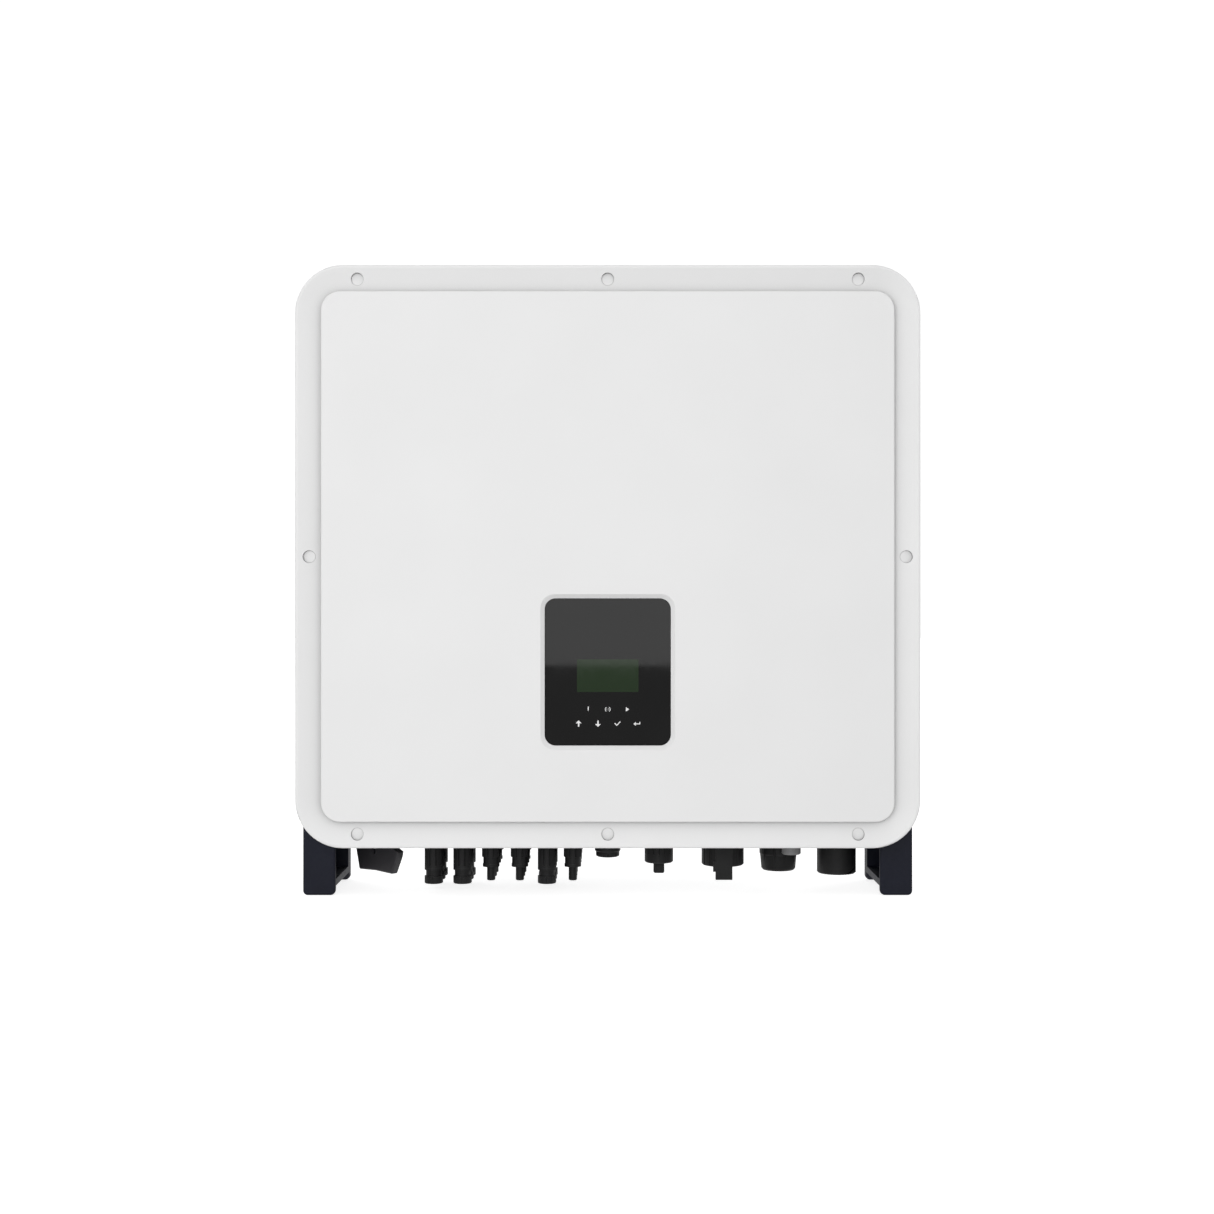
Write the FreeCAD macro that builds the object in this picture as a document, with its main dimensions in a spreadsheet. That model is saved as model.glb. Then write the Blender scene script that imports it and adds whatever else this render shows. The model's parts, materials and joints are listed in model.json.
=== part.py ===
import FreeCAD, Part
import math
import os

import Sketcher

# Wall-mounted string inverter, in millimetres. +Z is up and the front faces -Y.
# The origin is the centre of the footprint, on the plane that the two feet stand on.

App = FreeCAD
Vector = App.Vector
doc = App.newDocument("string_inverter")

# ---------------------------------------------------------------- driving dimensions

DRIVING = {
    # outer form
    "total_depth": 214,
    "cover_width": 520,
    "cover_height": 485,
    "cover_corner": 40,
    "cover_low": 45,
    "lid_depth": 35,
    "lid_wall": 3,
    "rim_setback": 1,
    "ring_drop": 6,
    "panel_width": 476.8,
    "panel_height": 441.5,
    "panel_corner": 16,
    # joint between cover and housing
    "screw_inset": 11.5,
    "screw_spread": 208.5,
    "screw_radius": 2.5,
    "screw_clear": 2.75,
    "head_radius": 4.25,
    "recess_radius": 5.25,
    "recess_depth": 12,
    "plug_face": 4.8,
    "boss_radius": 8.8,
    "rib_inset": 21.5,
    "rib_width": 4,
    "gasket_width": 6,
    "gasket_depth": 3,
    "gasket_proud": 0.8,
    "flange_inset": 5,
    "flange_depth": 8,
    # housing
    "box_inset": 23,
    "box_wall": 5,
    "rear_wall": 4,
    "box_depth": 89,
    "window_width": 410,
    "window_low": 200,
    "window_high": 476,
    # display
    "glass_width": 104.7,
    "glass_height": 122.2,
    "glass_corner": 9,
    "glass_thick": 2,
    "glass_centre": 191.6,
    "margin": 3.6,
    "seat_depth": 2,
    "lamp_height": 160.5,
    "key_height": 148.6,
    # heat sink and fans
    "sink_width": 444,
    "sink_low": 84,
    "sink_high": 492,
    "sink_base": 8,
    "fin_length": 60,
    "fin_thick": 2.2,
    "fin_low": 102,
    "fin_pitch": 9,
    "fin_count": 45,
    "fan_size": 60,
    "fan_height": 25,
    "fan_bore": 28.5,
    "fan_spacing": 120,
    "fan_depth": 172,
    # feet
    "foot_inner": 231.9,
    "foot_width": 27.7,
    "foot_front": 35.5,
    "foot_depth": 89,
    "foot_top": 104,
    "foot_wall": 3,
    "arch_height": 7.8,
    "web_height": 13.5,
    # switch
    "switch_x": 201,
    "switch_depth": 75,
    "shaft_radius": 4,
    "bar_thick": 7,
    "knob_radius": 31,
    "bezel_radius": 30,
    "bezel_low": 52,
    # plug-in connectors
    "socket_radius": 8,
    "socket_bore": 3,
    "thread_radius": 7.9,
    "row_front": 62,
    "row_middle": 84,
    "row_back": 106,
    # service ports and alternating-current connectors
    "port_depth": 70,
    "thread_top": 80,
    "cap_top": 45.6,
    "dongle_x": 44.6,
    "dongle_radius": 12.45,
    "com_x": 100.2,
    "com_radius": 18.35,
    "neck_radius": 14,
    "neck_low": 44,
    "grid_x": 149.2,
    "backup_x": 200,
    "plug_depth": 75,
    "cable_bore": 9,
    "contact_bore": 11,
    "seal_radius": 12.45,
    "grid_low": 16.4,
    "backup_low": 13.6,
    "backup_radius": 16.9,
    "earth_x": 158,
    "earth_depth": 51.5,
    "earth_radius": 8.15,
    # bracket
    "plate_thick": 2.5,
    "standoff": 8,
    "wing_low": 430,
    "wing_high": 476,
    "wall_hole": 5,
    "wall_hole_x": 150,
    "wall_hole_low": 370,
    "wall_hole_high": 470,
    # boards
    "board_thick": 1.6,
    "board_front": 116.4,
    "control_front": 48.4,
}


class Dim:
    """A length that carries its present value and the sheet expression it comes from."""

    def __init__(self, value, text=None):
        self.value = float(value)
        self.text = text or f"({float(value)!r})"

    def __add__(self, other):
        other = dim(other)
        return Dim(self.value + other.value, f"({self.text} + {other.text})")

    def __sub__(self, other):
        other = dim(other)
        return Dim(self.value - other.value, f"({self.text} - {other.text})")

    def __mul__(self, other):
        other = dim(other)
        return Dim(self.value * other.value, f"({self.text} * {other.text})")

    def __truediv__(self, other):
        other = dim(other)
        return Dim(self.value / other.value, f"({self.text} / {other.text})")

    def __radd__(self, other):
        return dim(other) + self

    def __rsub__(self, other):
        return dim(other) - self

    def __rmul__(self, other):
        return dim(other) * self

    def __neg__(self):
        return dim(0) - self


def dim(value):
    """Wrap a plain number as a Dim."""
    return value if isinstance(value, Dim) else Dim(value)


class Sizes:
    """The driving dimensions by name, as Dim values bound to the sheet."""


def fill_sheet():
    """Write the driving dimensions to the spreadsheet and return them by name."""
    sheet = doc.addObject("Spreadsheet::Sheet", "dims")
    sizes = Sizes()
    for row, (name, value) in enumerate(DRIVING.items(), start=1):
        sheet.set(f"A{row}", name)
        sheet.set(f"B{row}", str(value))
        sheet.setAlias(f"B{row}", name)
        setattr(sizes, name, Dim(value, f"dims.{name}"))
    doc.recompute()
    return sizes


S = fill_sheet()

# ---------------------------------------------------------------- derived places

FRONT = -S.total_depth / 2
COVER_MID = S.cover_low + S.cover_height / 2
FLANGE_BACK = S.lid_depth + S.flange_depth
BOX_BACK = FLANGE_BACK + S.box_depth
FIN_ROOT = BOX_BACK + S.sink_base
BELLY = S.cover_low + S.box_inset
FLOOR = BELLY + S.box_wall
SCREW_LOW = S.cover_low + S.screw_inset
SCREW_HIGH = S.cover_low + S.cover_height - S.screw_inset
SCREW_SIDE = S.cover_width / 2 - S.screw_inset
COVER_SCREWS = [(side * S.screw_spread, z) for side in (-1, 0, 1) for z in (SCREW_LOW, SCREW_HIGH)]
COVER_SCREWS += [(side * SCREW_SIDE, COVER_MID) for side in (-1, 1)]
SINK_SCREW_X = S.sink_width / 2 - 8.5
SINK_SCREWS = [(side * SINK_SCREW_X, dim(96 + 64 * step)) for side in (-1, 1) for step in range(7)]
TRAY_SCREWS = [(dim(x), dim(91)) for x in (-160, -60, 60, 160)]
WIDE_COLUMNS = (-150.7, -125.8, -52.6)
NARROW_COLUMNS = (-101.0, -76.1, -30.2)
ROWS = (S.row_front, S.row_middle, S.row_back)
FAN_COLUMNS = {"left": -1, "middle": 0, "right": 1}
FOOT_SCREWS = [(depth, dim(90)) for depth in (70, 105)]
FOOT_RECESS = 9
TRAY_SHEET = 1.5
TRAY_SCREW_RADIUS = 2
FAN_SHAFT = 1.5
SHELL_TOP = 43.6
POST_HOLE = 2.2
EAR_X = 243.75
LOCK_DEPTH = 194
LOCK_HEIGHT = 441
PANEL_POSTS = [(x, z) for x in (-190, 0, 190) for z in (206, 470)]
CONTROL_POSTS = [(x, z) for x in (-100, 100) for z in (228, 392)]


def deep(depth):
    """Y of a plane that lies `depth` behind the foremost face of the cover."""
    return FRONT + depth


# ---------------------------------------------------------------- building blocks

TURN = {
    "Z": App.Rotation(),
    "X": App.Rotation(Vector(0, 1, 0), 90),
    "Y": App.Rotation(Vector(1, 0, 0), -90),
    "-Z": App.Rotation(Vector(1, 0, 0), 180),
    "-Y": App.Rotation(Vector(1, 0, 0), 90),
    "-X": App.Rotation(Vector(0, 1, 0), -90),
}
PARTS = []


def bind(obj, prop, value):
    """Tie a property to the sheet."""
    obj.setExpression(prop, dim(value).text)


def move(obj, at, turn=None):
    """Place an object with its position tied to the sheet."""
    if turn is not None:
        obj.Placement = App.Placement(Vector(), turn)
    for letter, value in zip("xyz", at):
        bind(obj, f"Placement.Base.{letter}", value)
    return obj


def node(label, obj):
    """Name a finished sub-part."""
    obj.Label = label
    PARTS.append(obj)
    return obj


def solid(kind, sizes, at, turn=None):
    """A primitive whose sizes and position are tied to the sheet."""
    obj = doc.addObject(f"Part::{kind}", kind)
    for prop, value in sizes.items():
        bind(obj, prop, value)
    return move(obj, at, turn)


def box(size, at):
    """A block with its low corner at `at`."""
    return solid("Box", dict(zip(("Length", "Width", "Height"), size)), at)


def block(width, depths, heights, x=0):
    """A block centred on x that runs between two depths and two heights."""
    low, high = dim(depths[0]), dim(depths[1])
    bottom, top = dim(heights[0]), dim(heights[1])
    size = (width, high - low, top - bottom)
    return box(size, (dim(x) - dim(width) / 2, deep(low), bottom))


def rod(radius, length, at, axis="Z"):
    """A cylinder that starts at `at` and runs along the axis."""
    return solid("Cylinder", {"Radius": radius, "Height": length}, at, TURN[axis])


def torus(radius, wire, at, axis="Z"):
    """A ring of round wire."""
    return solid("Torus", {"Radius1": radius, "Radius2": wire}, at, TURN[axis])


def prism(across_flats, length, at, axis="Z"):
    """A hexagonal bar with flats that face along X."""
    obj = solid("Prism", {"Circumradius": dim(across_flats) / math.sqrt(3), "Height": length}, at)
    obj.Polygon = 6
    spin = App.Rotation(Vector(0, 0, 1), 30)
    return move(obj, at, TURN[axis].multiply(spin))


def fuse(*pieces):
    """One solid from pieces that overlap."""
    if len(pieces) == 1:
        return pieces[0]
    obj = doc.addObject("Part::MultiFuse", "Fuse")
    obj.Shapes = list(pieces)
    obj.Refine = True
    return obj


def cut(base, *tools):
    """The base without the tools."""
    obj = doc.addObject("Part::Cut", "Cut")
    obj.Base = base
    obj.Tool = fuse(*tools)
    obj.Refine = True
    return obj


def common(base, tool):
    """The space that two pieces share."""
    obj = doc.addObject("Part::Common", "Common")
    obj.Base = base
    obj.Tool = tool
    return obj


def group(pieces):
    """Separate identical pieces kept as one sub-part."""
    obj = doc.addObject("Part::Compound", "Group")
    obj.Links = list(pieces)
    return obj


def link(master, at, turn=None):
    """A copy of a piece that was made at the origin."""
    obj = doc.addObject("App::Link", "Copy")
    obj.LinkedObject = master
    return move(obj, at, turn)


def around(master, count, at=(0, 0, 0), start=0):
    """Copies of a piece, turned evenly about the Z axis through `at`."""
    copies = []
    for step in range(count):
        turn = App.Rotation(Vector(0, 0, 1), start + 360 * step / count)
        copies.append(link(master, at, turn))
    return copies


def new_body(name):
    """An empty body."""
    return doc.addObject("PartDesign::Body", name)


def sketch(body, role, offset):
    """A sketch on one of the body's own planes, moved by `offset` in the plane's axes."""
    plane = next(item for item in body.Origin.OriginFeatures if item.Role == role)
    drawing = body.newObject("Sketcher::SketchObject", "Sketch")
    drawing.AttachmentSupport = (plane, [""])
    drawing.MapMode = "FlatFace"
    for letter, value in zip("xyz", offset):
        bind(drawing, f"AttachmentOffset.Base.{letter}", value)
    return drawing


def front_sketch(body, depth, x=0, z=None):
    """A sketch that faces the front at a depth. Pads from it grow towards the front."""
    return sketch(body, "XZ_Plane", (x, COVER_MID if z is None else z, -deep(depth)))


def floor_sketch(body, z, x=0, depth=None):
    """A sketch that faces up at a height. Pads from it grow upwards."""
    return sketch(body, "XY_Plane", (x, dim(0) if depth is None else deep(depth), z))


def side_sketch(body, x):
    """A sketch that faces +X. Its own axes are Y and Z."""
    return sketch(body, "YZ_Plane", (0, 0, x))


def fix(drawing, kind, *where, value):
    """Add a dimension to a sketch and tie it to the sheet."""
    value = dim(value)
    number = drawing.addConstraint(Sketcher.Constraint(kind, *where, value.value))
    drawing.setExpression(f"Constraints[{number}]", value.text)


def outline(drawing, width, height, radius):
    """A rounded rectangle centred on the sketch's origin."""
    width, height, radius = dim(width), dim(height), dim(radius)
    a, b, r = width.value / 2, height.value / 2, radius.value
    first = drawing.GeometryCount
    centres = [(a - r, -b + r), (a - r, b - r), (-a + r, b - r), (-a + r, -b + r)]
    quarter = math.pi / 2
    sides = [(-a + r, -b, a - r, -b), (a, -b + r, a, b - r)]
    sides += [(a - r, b, -a + r, b), (-a, b - r, -a, -b + r)]
    for index, (x0, y0, x1, y1) in enumerate(sides):
        drawing.addGeometry(Part.LineSegment(Vector(x0, y0, 0), Vector(x1, y1, 0)))
        x, y = centres[index]
        circle = Part.Circle(Vector(x, y, 0), Vector(0, 0, 1), r)
        start = (index - 1) * quarter
        drawing.addGeometry(Part.ArcOfCircle(circle, start, start + quarter))
    for step in range(4):
        side, arc, after = first + 2 * step, first + 2 * step + 1, first + (2 * step + 2) % 8
        drawing.addConstraint(Sketcher.Constraint("Tangent", side, 2, arc, 1))
        drawing.addConstraint(Sketcher.Constraint("Tangent", arc, 2, after, 1))
        flat = "Horizontal" if step % 2 == 0 else "Vertical"
        drawing.addConstraint(Sketcher.Constraint(flat, side))
    for arc in (3, 5, 7):
        drawing.addConstraint(Sketcher.Constraint("Equal", first + 1, first + arc))
    drawing.addConstraint(Sketcher.Constraint("Symmetric", first + 3, 3, first + 7, 3, -1, 1))
    fix(drawing, "Radius", first + 1, value=radius)
    fix(drawing, "DistanceX", first + 7, 3, first + 1, 3, value=width - 2 * radius)
    fix(drawing, "DistanceY", first + 1, 3, first + 3, 3, value=height - 2 * radius)
    return drawing


def inset(drawing, amount):
    """The cover's outline, moved inwards."""
    shrink = 2 * dim(amount)
    return outline(drawing, S.cover_width - shrink, S.cover_height - shrink, S.cover_corner - amount)


def polygon(drawing, points):
    """A closed outline of straight lines through the points."""
    points = [(dim(x), dim(y)) for x, y in points]
    ends = [Vector(x.value, y.value, 0) for x, y in points]
    first = drawing.GeometryCount
    count = len(points)
    for index in range(count):
        drawing.addGeometry(Part.LineSegment(ends[index], ends[(index + 1) % count]))
    for index, (x, y) in enumerate(points):
        line = first + index
        after = first + (index + 1) % count
        drawing.addConstraint(Sketcher.Constraint("Coincident", line, 2, after, 1))
        for kind, axis, value in (("DistanceX", -2, x), ("DistanceY", -1, y)):
            if value.value == 0:
                drawing.addConstraint(Sketcher.Constraint("PointOnObject", line, 1, axis))
            else:
                fix(drawing, kind, -1, 1, line, 1, value=value)
    return drawing


def circles(drawing, centres, radius):
    """Equal circles at the given centres."""
    radius = dim(radius)
    for x, y in centres:
        x, y = dim(x), dim(y)
        circle = Part.Circle(Vector(x.value, y.value, 0), Vector(0, 0, 1), radius.value)
        number = drawing.addGeometry(circle)
        fix(drawing, "Radius", number, value=radius)
        for kind, axis, value in (("DistanceX", -2, x), ("DistanceY", -1, y)):
            if value.value == 0:
                drawing.addConstraint(Sketcher.Constraint("PointOnObject", number, 3, axis))
            else:
                fix(drawing, kind, -1, 1, number, 3, value=value)
    return drawing


def pad(body, drawing, length, backwards=False):
    """Grow a sketch along its normal."""
    feature = body.newObject("PartDesign::Pad", "Pad")
    feature.Profile = drawing
    feature.Reversed = backwards
    bind(feature, "Length", length)
    return feature


def pocket(body, drawing, length, backwards=False):
    """Cut a sketch against its normal, or along it when `backwards` is set."""
    feature = body.newObject("PartDesign::Pocket", "Pocket")
    feature.Profile = drawing
    feature.Reversed = backwards
    bind(feature, "Length", length)
    return feature


def sink_between(body, start, end):
    """Cut the sloping volume between two sketches."""
    feature = body.newObject("PartDesign::SubtractiveLoft", "Slope")
    feature.Profile = start
    feature.Sections = [end]
    feature.Ruled = True
    return feature


def soften(body, radius, wanted):
    """Round the edges that `wanted` picks from the body's present shape."""
    doc.recompute()
    base = body.Tip
    names = [f"Edge{number}" for number, edge in enumerate(base.Shape.Edges, 1) if wanted(edge)]
    feature = body.newObject("PartDesign::Fillet", "Fillet")
    feature.Base = (base, names)
    bind(feature, "Radius", radius)
    return feature


def lies_at(axis, value):
    """Picks edges that lie in a plane across an axis."""
    place = dim(value).value

    def wanted(edge):
        frame = edge.BoundBox
        low = getattr(frame, f"{axis}Min")
        high = getattr(frame, f"{axis}Max")
        return abs(low - place) < 0.01 and abs(high - place) < 0.01

    return wanted


def spread(body, feature, count, axis="Z_Axis"):
    """Repeat a feature evenly about one of the body's axes."""
    line = next(item for item in body.Origin.OriginFeatures if item.Role == axis)
    pattern = body.newObject("PartDesign::PolarPattern", "Around")
    pattern.Originals = [feature]
    pattern.Axis = (line, [""])
    pattern.Angle = 360
    pattern.Occurrences = count
    body.Tip = pattern
    return pattern


def lathe(name, profile):
    """A round body about its own Z axis, from (radius, height) points."""
    body = new_body(name)
    drawing = polygon(sketch(body, "XZ_Plane", (0, 0, 0)), profile)
    feature = body.newObject("PartDesign::Revolution", "Turned")
    feature.Profile = drawing
    feature.ReferenceAxis = (drawing, ["V_Axis"])
    feature.Angle = 360
    return body


def grooves(body, count, radius, at_radius, top, length):
    """Round grooves cut down the outside of a lathe body."""
    drawing = circles(sketch(body, "XY_Plane", (0, 0, top)), [(at_radius, 0)], radius)
    spread(body, pocket(body, drawing, length), count)
    return body


def screw(name, shank, length, head, head_height):
    """A socket-head screw along +Z with the underside of its head at the origin."""
    body = lathe(name, [(0, 0), (shank, 0), (shank, length), (0, length)])
    hat = lathe(f"{name}_head", [(0, -dim(head_height)), (head, -dim(head_height)), (head, 0), (0, 0)])
    socket = prism(dim(head) * 0.9, dim(head_height) * 0.6, (0, 0, -dim(head_height)))
    return cut(fuse(body, hat), socket)


# ---------------------------------------------------------------- cover


def front_cover():
    """Lid with a raised panel, a ring that slopes in to it and a seat for the display."""
    lid = new_body("front_cover")
    skirt = S.lid_depth - S.rim_setback
    edge_round = 1.2
    rim_width = 2.5
    pad(lid, inset(front_sketch(lid, S.lid_depth), 0), skirt)
    soften(lid, edge_round, lies_at("Y", deep(S.rim_setback)))
    rim = inset(front_sketch(lid, S.rim_setback), rim_width)
    foot = outline(front_sketch(lid, S.ring_drop), S.panel_width, S.panel_height, S.panel_corner)
    sink_between(lid, rim, foot)
    face = outline(front_sketch(lid, S.ring_drop), S.panel_width, S.panel_height, S.panel_corner)
    pad(lid, face, S.ring_drop)
    soften(lid, edge_round, lies_at("Y", FRONT))
    floor_depth = S.ring_drop + S.lid_wall
    cavity = inset(front_sketch(lid, S.lid_depth), S.lid_wall)
    pocket(lid, cavity, S.lid_depth - floor_depth, backwards=True)
    narrower = 2 * S.lid_wall
    under = outline(
        front_sketch(lid, floor_depth),
        S.panel_width - narrower,
        S.panel_height - narrower,
        S.panel_corner - S.lid_wall,
    )
    pocket(lid, under, S.ring_drop, backwards=True)
    seal_rib(lid)
    display_seat(lid)
    screw_bosses(lid)
    return node("front_cover", lid)


def seal_rib(lid):
    """Rib inside the lid that presses into the gasket."""
    reach = S.lid_depth - S.gasket_proud
    drawing = inset(front_sketch(lid, reach), S.rib_inset)
    inset(drawing, S.rib_inset + S.rib_width)
    pad(lid, drawing, reach - S.ring_drop - 1)


def display_seat(lid):
    """Thicker seat, sloping margin and window for the display glass."""
    seat_back = 7.4
    glue = 0.4
    seat_front = 2.9
    frame_corner = 12
    z = S.glass_centre
    wide, tall, corner = S.glass_width, S.glass_height, S.glass_corner
    slope = S.seat_depth

    def shape(depth, growth, radius):
        return outline(front_sketch(lid, depth, z=z), wide + growth, tall + growth, radius)

    pad(lid, shape(seat_back, 16, frame_corner), seat_back - seat_front)
    sink_between(lid, shape(0, 2 * S.margin, frame_corner), shape(slope, 0.8, corner + 0.4))
    pocket(lid, shape(slope, 0.4, corner + 0.2), S.glass_thick + glue)
    pocket(lid, shape(slope, -12, 5), 8)


def screw_bosses(lid):
    """Eight bosses with recessed through holes for the cover screws."""
    centres = [(x, z - COVER_MID) for x, z in COVER_SCREWS]
    reach = S.lid_depth - S.ring_drop - 1
    pad(lid, circles(front_sketch(lid, S.lid_depth), centres, S.boss_radius), reach)
    pocket(lid, circles(front_sketch(lid, 0), centres, S.recess_radius), S.recess_depth)
    pocket(lid, circles(front_sketch(lid, 0), centres, S.screw_clear), S.lid_depth)


def cover_screws():
    """Screws that hold the cover to the flange of the housing."""
    length = 29
    master = screw("cover_screw", S.screw_radius - 0.05, length, S.head_radius, 5)
    seats = [(x, deep(S.recess_depth), z) for x, z in COVER_SCREWS]
    return node("cover_screws", group(link(master, at, TURN["Y"]) for at in seats))


def screw_plugs():
    """Painted plugs that close the screw recesses."""
    radius = S.recess_radius - 0.1
    thick = 2
    bevel = 0.3
    profile = [(0, 0), (radius - bevel, 0), (radius, bevel), (radius, thick), (0, thick)]
    master = lathe("plug", profile)
    seats = [(x, deep(S.plug_face), z) for x, z in COVER_SCREWS]
    return node("screw_plugs", group(link(master, at, TURN["Y"]) for at in seats))


def cover_gasket():
    """Sealing cord between cover and housing."""
    body = new_body("cover_gasket")
    drawing = inset(front_sketch(body, S.lid_depth + S.gasket_depth), S.rib_inset - 1)
    inset(drawing, S.rib_inset - 1 + S.gasket_width)
    pad(body, drawing, S.gasket_depth + S.gasket_proud)
    return node("cover_gasket", body)


# ---------------------------------------------------------------- display


def display_glass():
    """Black glass set into the cover."""
    body = new_body("display_glass")
    glue = 0.4
    drawing = front_sketch(body, S.seat_depth + S.glass_thick + glue, z=S.glass_centre)
    pad(body, outline(drawing, S.glass_width, S.glass_height, S.glass_corner), S.glass_thick)
    return node("display_glass", body)


def display_parts():
    """Carrier, board, screen, indicators and touch pads behind the glass."""
    z = S.glass_centre
    wide, tall = S.glass_width, S.glass_height
    glass_back = 4.6
    carrier_front = 7.4
    board_front = 12.6
    carrier = new_body("display_carrier")
    drawing = outline(front_sketch(carrier, board_front, z=z), wide + 14, tall + 14, 11)
    outline(drawing, wide - 10, tall - 10, 6)
    pad(carrier, drawing, board_front - carrier_front)
    node("display_carrier", carrier)
    board = new_body("display_board")
    face = front_sketch(board, board_front + S.board_thick, z=z)
    pad(board, outline(face, wide + 10, tall + 10, 4), S.board_thick)
    node("display_board", board)
    node("lcd_module", block(58, (glass_back, board_front), (171, 206)))
    lamp_length = 4
    lamp_front = deep(board_front - lamp_length)
    lamps = [rod(1.5, lamp_length, (x, lamp_front, S.lamp_height), "Y") for x in (-16.2, 0, 16.4)]
    node("status_leds", group(lamps))
    pads = []
    pad_length = board_front - glass_back
    for x in (-24.2, -8.1, 8.1, 24.3):
        at = (x, deep(glass_back), S.key_height)
        pads.append(cut(rod(3.6, pad_length, at, "Y"), rod(2.8, pad_length + 1, at, "Y")))
    node("touch_pads", group(pads))


# ---------------------------------------------------------------- housing


def rear_housing():
    """Cast box with a front flange, an open back for the heat sink and holes in its floor."""
    shell = new_body("rear_housing")
    pad(shell, inset(front_sketch(shell, FLANGE_BACK), S.flange_inset), S.flange_depth)
    pad(shell, inset(front_sketch(shell, BOX_BACK), S.box_inset), S.box_depth)
    hollow = FLANGE_BACK + S.box_depth - S.rear_wall - S.lid_depth
    pocket(shell, inset(front_sketch(shell, S.lid_depth), S.box_inset + S.box_wall), hollow)
    slack = 0.2
    groove = inset(front_sketch(shell, S.lid_depth), S.rib_inset - 1 - slack)
    inset(groove, S.rib_inset - 1 + S.gasket_width + slack)
    pocket(shell, groove, S.gasket_depth)
    middle = (S.window_low + S.window_high) / 2
    opening = front_sketch(shell, BOX_BACK - S.rear_wall, z=middle)
    pocket(shell, outline(opening, S.window_width, S.window_high - S.window_low, 6), S.rear_wall)
    holes = [(x, z - COVER_MID) for x, z in COVER_SCREWS]
    pocket(shell, circles(front_sketch(shell, S.lid_depth), holes, S.screw_radius), S.flange_depth)
    holes = [(x, z - COVER_MID) for x, z in SINK_SCREWS]
    deep_face = front_sketch(shell, BOX_BACK - S.rear_wall)
    pocket(shell, circles(deep_face, holes, S.screw_radius), S.rear_wall)
    floor_holes(shell)
    side_holes(shell)
    return node("rear_housing", shell)


def floor_holes(shell):
    """Round openings in the floor for the switch, connectors and ports."""
    gap = 0.2
    valve_thread, dongle_thread, com_thread, plug_thread = 6, 9, 14, 14.8
    sizes = [
        (S.shaft_radius + 0.4, [(-S.switch_x, deep(S.switch_depth))]),
        (S.thread_radius + gap, [(x, deep(d)) for x in WIDE_COLUMNS + NARROW_COLUMNS for d in ROWS]),
        (valve_thread + gap, [(dim(0), deep(S.port_depth))]),
        (dongle_thread + gap, [(S.dongle_x, deep(S.port_depth))]),
        (com_thread + gap, [(S.com_x, deep(S.port_depth))]),
        (plug_thread + gap, [(S.grid_x, deep(S.plug_depth)), (S.backup_x, deep(S.plug_depth))]),
    ]
    for radius, centres in sizes:
        pocket(shell, circles(floor_sketch(shell, FLOOR), centres, radius), S.box_wall)


def side_holes(shell):
    """Threaded holes in both sides for the screws of the feet."""
    face = S.cover_width / 2 - S.box_inset
    for x in (face, S.box_wall - face):
        centres = [(deep(depth), z) for depth, z in FOOT_SCREWS]
        pocket(shell, circles(side_sketch(shell, x), centres, S.screw_radius), S.box_wall)


def foot_body():
    """Right-hand foot: a wall with a narrow front leg, an arch, a rear leg and a hand hold."""
    foot = new_body("right_foot")
    front, back = S.foot_front, S.foot_front + S.foot_depth
    step = 72
    sole = 5
    profile = [
        (front, 0),
        (front + sole, 0),
        (front + sole + 1, S.arch_height),
        (back - sole - 7, S.arch_height),
        (back - sole - 1.5, 0),
        (back, 0),
        (back, 66),
        (back - 10, S.foot_top),
        (front + 17, S.foot_top),
        (front + 9, step),
        (front, step),
    ]
    outer = S.foot_inner + S.foot_width
    drawing = polygon(side_sketch(foot, S.foot_inner), [(deep(depth), z) for depth, z in profile])
    pad(foot, drawing, S.foot_width)
    at_outer, at_inner, at_floor = lies_at("X", outer), lies_at("X", S.foot_inner), lies_at("Z", 0)
    soften(foot, 4, lambda edge: at_outer(edge) and at_floor(edge))
    soften(foot, 4.5, lambda edge: at_inner(edge) and at_floor(edge))
    soften(foot, 2, lambda edge: at_outer(edge) and not at_floor(edge))
    clear_flange = inset(front_sketch(foot, FLANGE_BACK + 0.5), S.flange_inset - 0.5)
    pocket(foot, clear_flange, 12, backwards=True)
    clear_box = inset(front_sketch(foot, S.foot_front - 2), S.box_inset - 0.1)
    pocket(foot, clear_box, S.foot_depth + 10)
    low, high = S.web_height, BELLY - 6
    near, far = deep(front + 3.5), deep(back - 16.5)
    room = [(near, low), (far, low), (far, high), (near, high)]
    hand = polygon(side_sketch(foot, S.foot_inner), room)
    pocket(foot, hand, S.foot_width - S.foot_wall, backwards=True)
    centres = [(deep(depth), z) for depth, z in FOOT_SCREWS]
    pocket(foot, circles(side_sketch(foot, outer), centres, S.screw_clear), S.foot_width)
    pocket(foot, circles(side_sketch(foot, outer), centres, S.recess_radius), FOOT_RECESS)
    return foot


def feet():
    """Two hollow feet that wrap round the lower corners of the housing, and their screws."""
    foot = node("right_foot", foot_body())
    mirror = doc.addObject("Part::Mirroring", "left_foot")
    mirror.Source = foot
    mirror.Normal = (1, 0, 0)
    node("left_foot", mirror)
    head_plane = S.foot_inner + S.foot_width - FOOT_RECESS
    length = 17
    master = screw("foot_screw", S.screw_radius - 0.05, length, S.head_radius, 5)
    screws = []
    for depth, z in FOOT_SCREWS:
        screws.append(link(master, (head_plane, deep(depth), z), TURN["-X"]))
        screws.append(link(master, (-head_plane, deep(depth), z), TURN["X"]))
    node("foot_screws", group(screws))


# ---------------------------------------------------------------- heat sink and fans


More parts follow.
